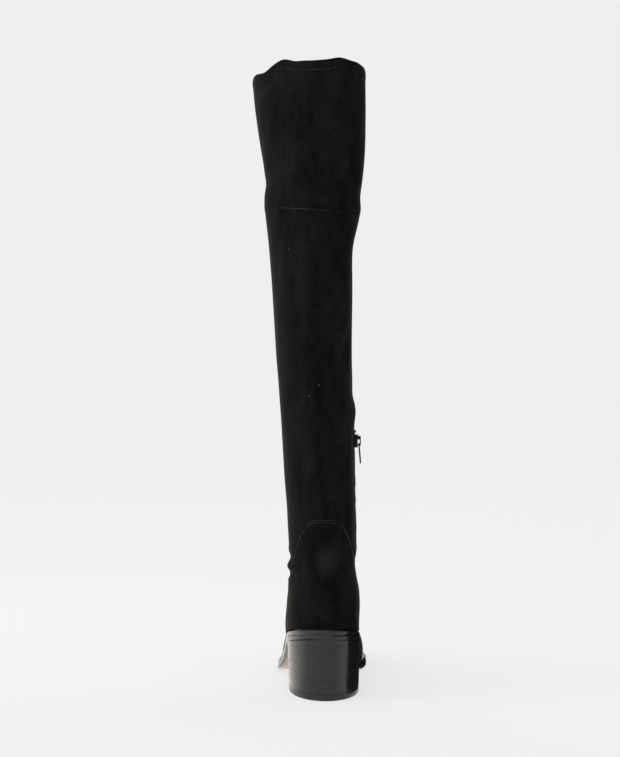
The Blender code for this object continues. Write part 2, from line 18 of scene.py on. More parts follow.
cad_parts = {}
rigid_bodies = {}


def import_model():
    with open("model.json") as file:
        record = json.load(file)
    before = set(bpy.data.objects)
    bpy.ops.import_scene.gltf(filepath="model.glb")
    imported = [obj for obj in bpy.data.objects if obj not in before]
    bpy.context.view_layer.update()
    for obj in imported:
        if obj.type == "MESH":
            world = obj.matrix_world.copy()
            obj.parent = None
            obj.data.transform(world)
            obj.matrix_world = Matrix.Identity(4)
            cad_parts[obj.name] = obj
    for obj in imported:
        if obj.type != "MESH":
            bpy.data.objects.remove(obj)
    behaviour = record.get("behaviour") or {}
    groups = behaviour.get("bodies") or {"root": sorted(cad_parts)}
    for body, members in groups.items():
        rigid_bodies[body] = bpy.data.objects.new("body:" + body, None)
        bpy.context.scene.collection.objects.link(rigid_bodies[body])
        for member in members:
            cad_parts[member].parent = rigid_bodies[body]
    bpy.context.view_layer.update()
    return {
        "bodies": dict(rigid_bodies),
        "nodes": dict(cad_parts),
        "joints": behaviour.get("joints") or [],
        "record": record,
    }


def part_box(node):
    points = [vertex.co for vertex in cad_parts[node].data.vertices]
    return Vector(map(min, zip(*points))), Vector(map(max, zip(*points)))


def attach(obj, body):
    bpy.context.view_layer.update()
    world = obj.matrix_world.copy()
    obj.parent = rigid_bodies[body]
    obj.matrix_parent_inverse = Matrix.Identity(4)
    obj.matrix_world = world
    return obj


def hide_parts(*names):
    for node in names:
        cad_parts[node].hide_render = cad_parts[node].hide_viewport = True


LOG = logging.getLogger("boot")
MM = 0.001
Colour = tuple[float, float, float, float]
Point = tuple[float, float, float]
Pair = tuple[float, float]
Path = list[tuple[Vector, Vector]]
Socket = bpy.types.NodeSocket
Value = float | tuple[float, ...] | Socket

WHITE: Colour = (1.0, 1.0, 1.0, 1.0)
DUST: Colour = (0.2, 0.19, 0.18, 1.0)
FORWARD = Vector((0.0, 1.0, 0.0))
SIDES = (-1.0, 1.0)


class Body(Enum):
    """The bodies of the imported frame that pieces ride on."""

    BOOT = "boot"
    PULL = "zip_pull"


class Slot(Enum):
    """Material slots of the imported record."""

    SUEDE = "suede"
    INSOLE = "insole_leather"
    SOLE_EDGE = "sole_edge"
    STACK = "stacked_heel"
    RUBBER = "heel_rubber"
    CHAIN = "zip_chain"
    METAL = "black_metal"


def grey(level: float) -> Colour:
    """Give a plain grey as a colour."""
    return level, level, level, 1.0


class Sheet:
    """A node tree with short calls to add and join its nodes."""

    def __init__(self, tree: bpy.types.NodeTree) -> None:
        """Take the tree that the nodes go into.

        Args:
            tree: A material's, group's or world's tree.
        """
        self.tree = tree

    def feed(self, inputs: bpy.types.NodeInputs, values: dict[str | int, Value]) -> None:
        """Set a node's inputs.

        Args:
            inputs: The node's input sockets.
            values: Input name or number to a constant or to an output socket.
        """
        for name, value in values.items():
            if isinstance(value, Socket):
                self.tree.links.new(value, inputs[name])
            else:
                inputs[name].default_value = value

    def add(self, kind: str, values: dict[str | int, Value] | None = None,
            **settings: object) -> bpy.types.Node:
        """Add a node.

        Args:
            kind: Node type without the ShaderNode prefix.
            values: Input name or number to a constant or to an output socket.
            **settings: Attributes of the node.

        Returns:
            The new node.
        """
        node = self.tree.nodes.new("ShaderNode" + kind)
        for name, value in settings.items():
            setattr(node, name, value)
        self.feed(node.inputs, values or {})
        return node

    def math(self, operation: str, first: Value, second: Value = 0.5,
             clamp: bool = False) -> Socket:
        """Join two values by arithmetic.

        Args:
            operation: Name of the Math node's operation.
            first: Constant or socket.
            second: Constant or socket, unused where the operation takes one value.
            clamp: Whether the result stays between 0 and 1.

        Returns:
            The value socket.
        """
        node = self.add("Math", {0: first, 1: second}, operation=operation, use_clamp=clamp)
        return node.outputs[0]

    def times(self, first: Value, second: Value, clamp: bool = False) -> Socket:
        """Multiply two values."""
        return self.math("MULTIPLY", first, second, clamp)

    def plus(self, first: Value, second: Value) -> Socket:
        """Add two values."""
        return self.math("ADD", first, second)

    def less(self, first: Value, second: Value) -> Socket:
        """Take the second value from the first."""
        return self.math("SUBTRACT", first, second)

    def ramp(self, value: Socket, low: float, high: float, start: float = 0.0,
             end: float = 1.0) -> Socket:
        """Stretch a value between two levels with a soft step.

        Args:
            value: Socket to read.
            low: Value that gives start.
            high: Value that gives end.
            start: Result at low.
            end: Result at high.

        Returns:
            The value socket.
        """
        node = self.add("MapRange", {"Value": value, "From Min": low, "From Max": high,
                                     "To Min": start, "To Max": end},
                        interpolation_type="SMOOTHSTEP")
        return node.outputs["Result"]

    def mix(self, factor: Value, first: Value, second: Value) -> Socket:
        """Blend two colours.

        Args:
            factor: Share of the second one, a constant or a socket.
            first: Colour or socket.
            second: Colour or socket.

        Returns:
            The colour socket.
        """
        node = self.add("Mix", {0: factor, 6: first, 7: second}, data_type="RGBA",
                        blend_type="MIX")
        return node.outputs[2]

    def noise(self, vector: Socket, scale: float, detail: float = 3.0, rough: float = 0.6,
              stretch: Point = (1.0, 1.0, 1.0)) -> Socket:
        """Read a noise pattern.

        Args:
            vector: Coordinate socket.
            scale: Cells per metre.
            detail: Octaves.
            rough: Weight of the finer octaves.
            stretch: Scale of each axis, below 1 draws the pattern out.

        Returns:
            The value socket.
        """
        place = self.add("Mapping", {"Vector": vector, "Scale": stretch})
        node = self.add("TexNoise", {"Vector": place.outputs[0], "Scale": scale,
                                     "Detail": detail, "Roughness": rough})
        return node.outputs["Fac"]

    def bump(self, height: Socket, depth: float) -> Socket:
        """Turn a height into a normal.

        Args:
            height: Height socket, about 0 to 1.
            depth: Depth of the relief in metres.

        Returns:
            The normal socket.
        """
        node = self.add("Bump", {"Height": height, "Distance": depth, "Strength": 1.0})
        return node.outputs[0]


def group(name: str, inputs: dict[str, tuple[str, object]], outputs: dict[str, str]
          ) -> tuple[Sheet, bpy.types.NodeOutputs, bpy.types.NodeInputs]:
    """Start a shader node group.

    Args:
        name: Name of the group.
        inputs: Socket name to its kind and default.
        outputs: Socket name to its kind.

    Returns:
        A sheet to fill it, its input sockets and the inputs of its output node.
    """
    tree = bpy.data.node_groups.new(name, "ShaderNodeTree")
    for socket, (kind, default) in inputs.items():
        made = tree.interface.new_socket(socket, in_out="INPUT", socket_type="NodeSocket" + kind)
        if default is not None:
            made.default_value = default
    for socket, kind in outputs.items():
        tree.interface.new_socket(socket, in_out="OUTPUT", socket_type="NodeSocket" + kind)
    start = tree.nodes.new("NodeGroupInput")
    end = tree.nodes.new("NodeGroupOutput")
    return Sheet(tree), start.outputs, end.inputs


class Effects:
    """Node groups that several finishes share."""

    def __init__(self) -> None:
        """Build every group once."""
        self.nap = self._nap()
        self.grain = self._grain()
        self.layers = self._layers()
        self.dust = self._dust()

    def _nap(self) -> bpy.types.NodeTree:
        """Build the brushed nap: soft clouds, strokes and fine fibre.

        Returns:
            The group, with Color, Height and Shade.
        """
        sheet, start, end = group(
            "brushed_nap",
            {"Vector": ("Vector", None), "Dark": ("Color", (0.006, 0.0055, 0.005, 1.0)),
             "Light": ("Color", (0.02, 0.018, 0.016, 1.0)), "Strokes": ("Float", 0.5)},
            {"Color": "Color", "Height": "Float", "Shade": "Float"})
        place = start["Vector"]
        clouds = sheet.noise(place, 17.0, detail=4.0, stretch=(1.0, 1.0, 0.55))
        blots = sheet.noise(place, 46.0, stretch=(1.0, 1.0, 0.5))
        strokes = sheet.noise(place, 95.0, stretch=(1.0, 1.0, 0.35))
        tuft = sheet.noise(place, 420.0, rough=0.65)
        fibre = sheet.noise(place, 1500.0, detail=2.0, stretch=(1.0, 1.0, 0.45))
        patch = sheet.ramp(sheet.plus(sheet.times(clouds, 0.5), sheet.times(blots, 0.5)),
                           0.36, 0.64)
        brushed = sheet.times(sheet.ramp(strokes, 0.3, 0.75), start["Strokes"])
        shade = sheet.plus(sheet.times(patch, 0.5), brushed)
        shade = sheet.plus(shade, sheet.ramp(tuft, 0.3, 0.72, -0.12, 0.3))
        shade = sheet.times(shade, sheet.ramp(fibre, 0.2, 0.8, 0.72, 1.15), clamp=True)
        sheet.feed(end, {
            "Color": sheet.mix(shade, start["Dark"], start["Light"]),
            "Height": sheet.plus(sheet.times(fibre, 0.6), sheet.times(tuft, 0.4)),
            "Shade": shade})
        return sheet.tree

    def _grain(self) -> bpy.types.NodeTree:
        """Build smooth leather's grain of small cells with faint creases.

        Returns:
            The group, with Height and Mask.
        """
        sheet, start, end = group(
            "leather_grain",
            {"Vector": ("Vector", None), "Scale": ("Float", 900.0), "Creases": ("Float", 0.4)},
            {"Height": "Float", "Mask": "Float"})
        cells = sheet.add("TexVoronoi", {"Vector": start["Vector"], "Scale": start["Scale"],
                                         "Randomness": 1.0}, feature="DISTANCE_TO_EDGE")
        pits = sheet.ramp(cells.outputs[0], 0.0, 0.16)
        folds = sheet.noise(start["Vector"], 130.0, detail=5.0, rough=0.62)
        lines = sheet.times(sheet.ramp(folds, 0.52, 0.62), start["Creases"])
        sheet.feed(end, {"Height": sheet.less(pits, lines), "Mask": sheet.ramp(folds, 0.35, 0.7)})
        return sheet.tree

    def _layers(self) -> bpy.types.NodeTree:
        """Build the fine lines between stacked sheets of leather.

        Returns:
            The group, with Line, Height and Tone.
        """
        sheet, start, end = group(
            "stacked_layers",
            {"Vector": ("Vector", None), "Pitch": ("Float", 0.0034), "Wander": ("Float", 0.0004)},
            {"Line": "Float", "Height": "Float", "Tone": "Float"})
        place = start["Vector"]
        axes = sheet.add("SeparateXYZ", {"Vector": place})
        drift = sheet.noise(place, 26.0, detail=2.0, rough=0.5, stretch=(1.0, 1.0, 2.2))
        lifted = sheet.plus(axes.outputs["Z"], sheet.times(drift, start["Wander"]))
        steps = sheet.math("DIVIDE", lifted, start["Pitch"])
        near = sheet.math("ABSOLUTE", sheet.less(sheet.math("FRACT", steps), 0.5))
        worn = sheet.noise(place, 55.0, rough=0.7, stretch=(1.0, 1.0, 9.0))
        line = sheet.times(sheet.ramp(near, 0.43, 0.49), sheet.ramp(worn, 0.3, 0.6, 0.25, 1.0))
        tone = sheet.add("TexWhiteNoise", {"W": sheet.math("FLOOR", steps)},
                         noise_dimensions="1D")
        hairs = sheet.noise(place, 260.0, detail=2.0, rough=0.7, stretch=(1.0, 1.0, 14.0))
        sheet.feed(end, {"Line": line, "Height": sheet.less(sheet.times(hairs, 0.02), line),
                         "Tone": tone.outputs["Value"]})
        return sheet.tree

    def _dust(self) -> bpy.types.NodeTree:
        """Build sparse specks of lint and dust.

        Returns:
            The group, with Mask.
        """
        sheet, start, end = group(
            "dust_specks", {"Vector": ("Vector", None), "Spread": ("Float", 0.66)},
            {"Mask": "Float"})
        specks = sheet.add("TexVoronoi", {"Vector": start["Vector"], "Scale": 340.0,
                                          "Randomness": 1.0}, feature="F1")
        dots = sheet.ramp(specks.outputs["Distance"], 0.14, 0.02)
        patches = sheet.noise(start["Vector"], 60.0, detail=2.0, rough=0.5)
        rare = sheet.ramp(patches, start["Spread"], 0.8)
        sheet.feed(end, {"Mask": sheet.times(dots, rare, clamp=True)})
        return sheet.tree

    def dusted(self, sheet: Sheet, place: Socket, colour: Socket, spread: float,
               strength: float, tone: Colour = DUST) -> Socket:
        """Lay dust over a colour.

        Args:
            sheet: The material's sheet.
            place: Its coordinates.
            colour: The clean colour.
            spread: Level from which specks show, lower for more of them.
            strength: How far a speck covers the colour.
            tone: Colour of the specks.

        Returns:
            The colour socket.
        """
        specks = sheet.add("Group", {"Vector": place, "Spread": spread}, node_tree=self.dust)
        return sheet.mix(sheet.times(specks.outputs["Mask"], strength), colour, tone)


def new_sheet(name: str, **shader: Value
              ) -> tuple[bpy.types.Material, Sheet, bpy.types.NodeInputs, Socket]:
    """Start a material with a Principled shader and object coordinates.

    Args:
        name: Name of the material.
        **shader: Constants for the shader's inputs, with _ for spaces.

    Returns:
        The material, its sheet, its shader's inputs and the coordinate socket.
    """
    made = bpy.data.materials.new(name)
    made.use_nodes = True
    sheet = Sheet(made.node_tree)
    made.node_tree.nodes.clear()
    values = {key.replace("_", " "): value for key, value in shader.items()}
    principled = sheet.add("BsdfPrincipled", values)
    sheet.add("OutputMaterial", {"Surface": principled.outputs[0]})
    return made, sheet, principled.inputs, sheet.add("TexCoord").outputs["Object"]


@dataclass(frozen=True)
class SuedeFinish:
    """Black suede with a brushed nap that catches light along its edges."""

    name: str
    dark: Colour = (0.0017, 0.0017, 0.0015, 1.0)
    light: Colour = (0.0125, 0.0122, 0.0107, 1.0)
    glow: Colour = (1.0, 0.88, 0.76, 1.0)
    strokes: float = 0.4
    sheen: float = 0.125
    relief: float = 0.0003
    lint: float = 0.7
    lint_tone: Colour = (0.12, 0.115, 0.105, 1.0)
    # painted highlight: centre, size and tone of a lighter patch of base colour standing in for
    # light on the counter's upward-facing slope
    painted_highlight: Point | None = None
    painted_highlight_size: Point = (0.0155, 0.03, 0.022)
    painted_highlight_tone: Colour = grey(0.0215)

    def material(self, effects: Effects) -> bpy.types.Material:
        """Build the material.

        Args:
            effects: The shared groups.

        Returns:
            The material.
        """
        made, sheet, shader, place = new_sheet(
            self.name, Roughness=0.92, Sheen_Weight=self.sheen, Sheen_Roughness=0.2,
            Sheen_Tint=self.glow, Specular_IOR_Level=0.06)
        nap = sheet.add("Group", {"Vector": place, "Dark": self.dark, "Light": self.light,
                                  "Strokes": self.strokes}, node_tree=effects.nap).outputs
        colour = nap["Color"]
        # painted highlight: base colour lightened in a soft oval around that centre
        if self.painted_highlight is not None:
            moved = sheet.add("VectorMath", {0: place, 1: self.painted_highlight}, operation="SUBTRACT")
            sized = sheet.add("VectorMath", {0: moved.outputs[0], 1: self.painted_highlight_size},
                              operation="DIVIDE")
            reach = sheet.add("VectorMath", {0: sized.outputs[0]}, operation="LENGTH")
            spot = sheet.ramp(reach.outputs["Value"], 1.0, 0.1, 0.0, 0.62)
            colour = sheet.mix(spot, colour, self.painted_highlight_tone)
        sheet.feed(shader, {
            "Base Color": effects.dusted(sheet, place, colour, self.lint, 0.35, self.lint_tone),
            "Roughness": sheet.ramp(nap["Shade"], 0.0, 1.0, 0.86, 1.0),
            "Normal": sheet.bump(nap["Height"], self.relief)})
        return made


@dataclass(frozen=True)
class LeatherFinish:
    """Smooth leather: lining, insole cover and the tan underside of the sole."""

    name: str
    base: Colour
    worn: Colour
    roughness: float = 0.5
    grain: float = 850.0
    creases: float = 0.35
    relief: float = 0.00012

    def material(self, effects: Effects) -> bpy.types.Material:
        """Build the material.

        Args:
            effects: The shared groups.

        Returns:
            The material.
        """
        made, sheet, shader, place = new_sheet(self.name, Roughness=self.roughness,
                                               Specular_IOR_Level=0.4)
        grain = sheet.add("Group", {"Vector": place, "Scale": self.grain,
                                    "Creases": self.creases}, node_tree=effects.grain).outputs
        rub = sheet.noise(place, 40.0, detail=4.0)
        colour = sheet.mix(grain["Mask"], self.base, self.worn)
        sheet.feed(shader, {
            "Base Color": sheet.mix(sheet.ramp(rub, 0.55, 0.75, 0.0, 0.35), colour, self.worn),
            "Roughness": sheet.ramp(rub, 0.3, 0.7, self.roughness - 0.08, self.roughness + 0.12),
            "Normal": sheet.bump(grain["Height"], self.relief)})
        return made


@dataclass(frozen=True)
class StackFinish:
    """Stacked leather, inked black and polished to a gloss, with its layers showing."""

    name: str
    ink: Colour = (0.0068, 0.0062, 0.0056, 1.0)
    line: Colour = grey(0.0018)
    tone: Colour = (0.012, 0.0113, 0.0107, 1.0)
    roughness: float = 0.2
    pitch: float = 0.0040
    relief: float = 0.000014

    def material(self, effects: Effects) -> bpy.types.Material:
        """Build the material.

        Args:
            effects: The shared groups.

        Returns:
            The material.
        """
        made, sheet, shader, place = new_sheet(
            self.name, Roughness=self.roughness, Specular_IOR_Level=0.42, Coat_Weight=0.14,
            Coat_Roughness=0.14)
        layers = sheet.add("Group", {"Vector": place, "Pitch": self.pitch},
                           node_tree=effects.layers).outputs
        colour = sheet.mix(sheet.times(layers["Tone"], 0.8), self.ink, self.tone)
        colour = sheet.mix(layers["Line"], colour, self.line)
        haze = sheet.noise(place, 70.0, detail=4.0, stretch=(1.0, 1.0, 4.0))
        gloss = sheet.ramp(haze, 0.3, 0.75, self.roughness - 0.05, self.roughness + 0.1)
        sheet.feed(shader, {
            "Base Color": effects.dusted(sheet, place, colour, 0.6, 0.18),
            "Roughness": sheet.plus(gloss, sheet.times(layers["Line"], 0.3)),
            "Normal": sheet.bump(layers["Height"], self.relief)})
        return made


@dataclass(frozen=True)
class SolidFinish:
    """A plain dyed surface with worn spots: rubber, painted metal, thread or tape."""

    name: str
    base: Colour
    worn: Colour
    roughness: float
    metallic: float = 0.0
    scale: float = 160.0
    wear: Pair = (0.55, 0.75)
    relief: float = 0.00004
    weave: float = 0.0
    shine: float = 0.5

    def material(self, effects: Effects) -> bpy.types.Material:
        """Build the material.

        Args:
            effects: The shared groups.

        Returns:
            The material.
        """
        made, sheet, shader, place = new_sheet(self.name, Roughness=self.roughness,
                                               Metallic=self.metallic,
                                               Specular_IOR_Level=self.shine)
        spots = sheet.noise(place, self.scale, detail=4.0)
        height = sheet.noise(place, self.scale * 9.0, detail=2.0)
        colour = sheet.mix(sheet.ramp(spots, *self.wear), self.base, self.worn)
        if self.weave:
            ribs = sheet.add("TexWave", {"Vector": place, "Scale": self.weave,
                                         "Distortion": 0.4, "Detail": 1.0},
                             wave_type="BANDS", bands_direction="Z")
            height = sheet.plus(ribs.outputs["Fac"], sheet.times(height, 0.3))
        sheet.feed(shader, {
            "Base Color": effects.dusted(sheet, place, colour, 0.62, 0.2),
            "Roughness": sheet.ramp(spots, 0.3, 0.75, self.roughness - 0.07,
                                    self.roughness + 0.13),
            "Normal": sheet.bump(height, self.relief)})
        return made


def link_object(name: str, data: bpy.types.ID) -> bpy.types.Object:
    """Put a new object into the scene.

    Args:
        name: Its name.
        data: Its mesh, lamp or camera.

    Returns:
        The object, at the origin.
    """
    made = bpy.data.objects.new(name, data)
    bpy.context.scene.collection.objects.link(made)
    return made


def take_mesh(work: bmesh.types.BMesh, name: str) -> bpy.types.Mesh:
    """Make a mesh of a worked one.

    Args:
        work: The worked mesh, which is freed.
        name: Name of the new mesh.

    Returns:
        The new mesh.
    """
    mesh = bpy.data.meshes.new(name)
    work.to_mesh(mesh)
    work.free()
    return mesh


def copy_node(frame: dict, node: str, name: str) -> bmesh.types.BMesh:
    """Copy a CAD node into a mesh being worked on, with its loose triangles merged.

    Args:
        frame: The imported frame.
        node: Name of the CAD node.
        name: Name for the log.

    Returns:
        The bmesh, in metres in the shared frame.
    """
    work = bmesh.new()
    work.from_mesh(frame["nodes"][node].data)
    bmesh.ops.remove_doubles(work, verts=work.verts, dist=1e-6)
    LOG.info("%s starts from %s with %d faces", name, node, len(work.faces))
    return work


def finish_piece(work: bmesh.types.BMesh, name: str, materials: list[bpy.types.Material],
                 body: Body, stands_for: tuple[str, ...] = (),
                 smooth: bool = True) -> bpy.types.Object:
    """Turn a worked mesh into a piece of the frame.

    Args:
        work: The mesh, which is freed.
        name: Name of the piece.
        materials: Its materials, by face index.
        body: Body it rides on.
        stands_for: CAD nodes that it replaces.
        smooth: Whether its faces are shaded smooth.

    Returns:
        The object.
    """
    for face in work.faces:
        face.smooth = smooth
    mesh = take_mesh(work, name)
    for made in materials:
        mesh.materials.append(made)
    piece = link_object(name, mesh)
    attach(piece, body.value)
    if stands_for:
        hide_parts(*stands_for)
    LOG.info("%s: %d faces on %s", name, len(mesh.polygons), body.value)
    return piece


def rounded(work: bmesh.types.BMesh, levels: int) -> bmesh.types.BMesh:
    """Apply Subdivision Surface to a worked mesh.

    Args:
        work: The mesh, which is freed.
        levels: Levels of subdivision.

    Returns:
        A new mesh.
    """
    mesh = take_mesh(work, "rounding")
    holder = link_object("rounding", mesh)
    modifier = holder.modifiers.new("rounding", "SUBSURF")
    modifier.levels = modifier.render_levels = levels
    modifier.boundary_smooth = "PRESERVE_CORNERS"
    done = bmesh.new()
    done.from_object(holder, bpy.context.evaluated_depsgraph_get())
    bpy.data.objects.remove(holder)
    bpy.data.meshes.remove(mesh)
    return done


def join_quads(work: bmesh.types.BMesh) -> None:
    """Join the triangles of lofted walls back into quads.

    Args:
        work: The mesh.
    """
    bmesh.ops.join_triangles(work, faces=work.faces, angle_face_threshold=math.radians(50.0),
                             angle_shape_threshold=math.radians(60.0))


def melt(work: bmesh.types.BMesh, degrees: float) -> None:
    """Join faces that lie in nearly the same plane.

    Args:
        work: The mesh.
        degrees: Largest angle between them.
    """
    bmesh.ops.dissolve_limit(work, angle_limit=math.radians(degrees), verts=work.verts,
                             edges=work.edges)


def hard_edges(work: bmesh.types.BMesh, degrees: float) -> list[bmesh.types.BMEdge]:
    """Find the edges at which the surface turns sharply.

    Args:
        work: The mesh.
        degrees: Angle from which an edge counts.

    Returns:
        The edges.
    """
    return [edge for edge in work.edges
            if edge.is_manifold and edge.calc_face_angle(0.0) > math.radians(degrees)]


def soften(work: bmesh.types.BMesh, edges: list[bmesh.types.BMEdge], width: float,
           segments: int, clamp: bool = False) -> None:
    """Bevel edges.

    Args:
        work: The mesh.
        edges: Its edges to bevel.
        width: Width of the bevel in millimetres.
        segments: Faces across it.
        clamp: Whether bevels stop where they would overlap.
    """
    bmesh.ops.bevel(work, geom=edges, offset=width * MM, segments=segments, profile=0.5,
                    affect="EDGES", material=-1, clamp_overlap=clamp)


def shade_by_angle(piece: bpy.types.Object, degrees: float) -> None:
    """Shade smooth across soft edges and keep hard edges sharp.

    Args:
        piece: The object.
        degrees: Largest smooth angle.
    """
    work = bmesh.new()
    work.from_mesh(piece.data)
    for face in work.faces:
        face.smooth = True
    hard = set(hard_edges(work, degrees))
    for edge in work.edges:
        edge.smooth = edge not in hard
    work.to_mesh(piece.data)
    work.free()


def soft_step(value: float, low: float, high: float) -> float:
    """Rise smoothly from 0 at low to 1 at high."""
    share = min(max((value - low) / (high - low), 0.0), 1.0)
    return share * share * (3.0 - 2.0 * share)


def scaled(size: Point) -> Matrix:
    """Give the matrix that scales a unit shape to millimetres."""
    return Matrix.Diagonal((*(value * MM for value in size), 1.0))


def place_at(place: Vector, along: Vector, normal: Vector) -> Matrix:
    """Turn a small part so that X runs along a path and Z stands off the surface.

    Args:
        place: Where it goes, in metres.
        along: Way of the path.
        normal: Outward direction of the surface.

    Returns:
        The matrix.
    """
    up = normal.normalized()
    ahead = (along - up * along.dot(up)).normalized()
    turn = Matrix((ahead, up.cross(ahead), up)).transposed().to_4x4()
    return Matrix.Translation(place) @ turn


def add_block(work: bmesh.types.BMesh, stand: Matrix, size: Point) -> list[bmesh.types.BMEdge]:
    """Add a rectangular block to a mesh.

    Args:
        work: The mesh.
        stand: Its place and turn.
        size: Its three sides in millimetres.

    Returns:
        Its edges.
    """
    made = bmesh.ops.create_cube(work, size=1.0, matrix=stand @ scaled(size))
    return list(dict.fromkeys(edge for vert in made["verts"] for edge in vert.link_edges))


def add_bead(work: bmesh.types.BMesh, stand: Matrix, half: Point, rings: int) -> None:
    """Add an egg-shaped bead of a few faces to a mesh.

    Args:
        work: The mesh.
        stand: Its place and turn.
        half: Half of its three sizes, in millimetres.
        rings: Faces from end to end.
    """
    bmesh.ops.create_uvsphere(work, u_segments=6, v_segments=rings, radius=1.0,
                              matrix=stand @ scaled(half))


def ahead_at(path: Path, number: int) -> Vector:
    """Give the way that a path takes at one of its places."""
    return path[min(number + 1, len(path) - 1)][0] - path[max(number - 1, 0)][0]


def averaged(path: Path, reach: int) -> Path:
    """Even out a path.

    Args:
        path: Places with outward normals.
        reach: Neighbours on each side that a place is averaged with.

    Returns:
        The even path.
    """
    even = []
    for number in range(len(path)):
        part = path[max(number - reach, 0):number + reach + 1]
        even.append((sum((place for place, _ in part), Vector()) / len(part),
                     sum((normal for _, normal in part), Vector()).normalized()))
    return even


def strip_along(work: bmesh.types.BMesh, path: Path, width: float, rise: float,
                bed: float = 0.35) -> None:
    """Lay a low strip with a rounded back along a path on a surface.

    Args:
        work: Mesh that the strip goes into.
        path: Places in metres with outward normals.
        width: Its width in millimetres.
        rise: How far it stands up, in millimetres.
        bed: How far its edges go into the surface, in millimetres.
    """
    half = ((-0.5, -bed), (-0.42, 0.45 * rise), (-0.2, 0.92 * rise))
    profile = (*half, (0.0, rise), *((-across, up) for across, up in reversed(half)))
    section = [Vector((0.0, across * width, up)) * MM for across, up in profile]
    edges: list[bmesh.types.BMEdge] = []
    for number, (place, normal) in enumerate(path):
        stand = place_at(place, ahead_at(path, number), normal)
        if not edges:
            verts = [work.verts.new(stand @ spot) for spot in section]
            edges = [work.edges.new(pair) for pair in zip(verts, verts[1:])]
            continue
        made = bmesh.ops.extrude_edge_only(work, edges=edges)["geom"]
        fresh = [item for item in made if isinstance(item, bmesh.types.BMVert)]
        old = [edge.verts[0] for edge in edges] + [edges[-1].verts[1]]
        pairs = {min(old, key=lambda item: (item.co - vert.co).length_squared): vert
                 for vert in fresh}
        ordered = [pairs[item] for item in old]
        for vert, spot in zip(ordered, section):
            vert.co = stand @ spot
        edges = [work.edges.get(pair) for pair in zip(ordered, ordered[1:])]


class Face(Enum):
    """Sides of the boot, with the direction that each looks in."""

    BACK = (0.0, -1.0, 0.0)
    FRONT = (0.0, 1.0, 0.0)
    LATERAL = (-1.0, 0.0, 0.0)
    MEDIAL = (1.0, 0.0, 0.0)


CREASE_FACING = (0.02, 0.4)   # how far a wall has to face a crease to take it
CREASE_REACH = 4.0            # widths beyond which a crease does nothing
CREASE_TAPER = 0.55           # share of the depth that is gone at a crease's ends
RIDGE_SHARE = 0.38            # height of the ridges beside a trough, to its depth
RIDGE_AWAY = 1.9              # widths from a trough's middle to its ridges
RIDGE_SPREAD = 0.8


@dataclass(frozen=True)
class Crease:
    """A soft trough between two ridges, or a ridge where depth is negative.

    start and end are millimetres on the face that it lies on: across or forward, then up.
    """

    face: Face
    start: Pair
    end: Pair
    depth: float
    width: float
    bend: float = 0.0

    def push(self, point: Vector, normal: Vector) -> float:
        """Work out how far the wall moves outwards at a point.

        Args:
            point: Place on the wall, in millimetres.
            normal: Outward direction of the wall.

        Returns:
            The move in millimetres.
        """
        facing = soft_step(normal.dot(Vector(self.face.value)), *CREASE_FACING)
        if facing <= 0.0:
            return 0.0
        along = point.x if self.face in (Face.BACK, Face.FRONT) else point.y
        dx, dz = self.end[0] - self.start[0], self.end[1] - self.start[1]
        length = math.hypot(dx, dz)
        px, pz = along - self.start[0], point.z - self.start[1]
        share = (px * dx + pz * dz) / (length * length)
        reach = (px * dz - pz * dx) / length - self.bend * (1.0 - (2.0 * share - 1.0) ** 2)
        past = max(-share, share - 1.0, 0.0) * length
        away = math.hypot(reach, past) / self.width
        if away > CREASE_REACH:
            return 0.0
        taper = 1.0 - CREASE_TAPER * (2.0 * min(max(share, 0.0), 1.0) - 1.0) ** 2
        trough = math.exp(-away * away)
        ridges = RIDGE_SHARE * math.exp(-(away - RIDGE_AWAY) ** 2 / RIDGE_SPREAD)
        return -self.depth * (trough - ridges) * taper * facing


@dataclass(frozen=True)
class RimWave:
    """One soft rise or dip of the upper's top edge, seen from behind."""

    middle: float
    reach: float
    height: float

    def lift(self, across: float) -> float:
        """Work out how far this wave moves the edge.

        Args:
            across: Place across the boot, in millimetres.

        Returns:
            The move in millimetres, upwards.
        """
        share = abs(across - self.middle) / self.reach
        return 0.5 * self.height * (1.0 + math.cos(math.pi * min(share, 1.0)))


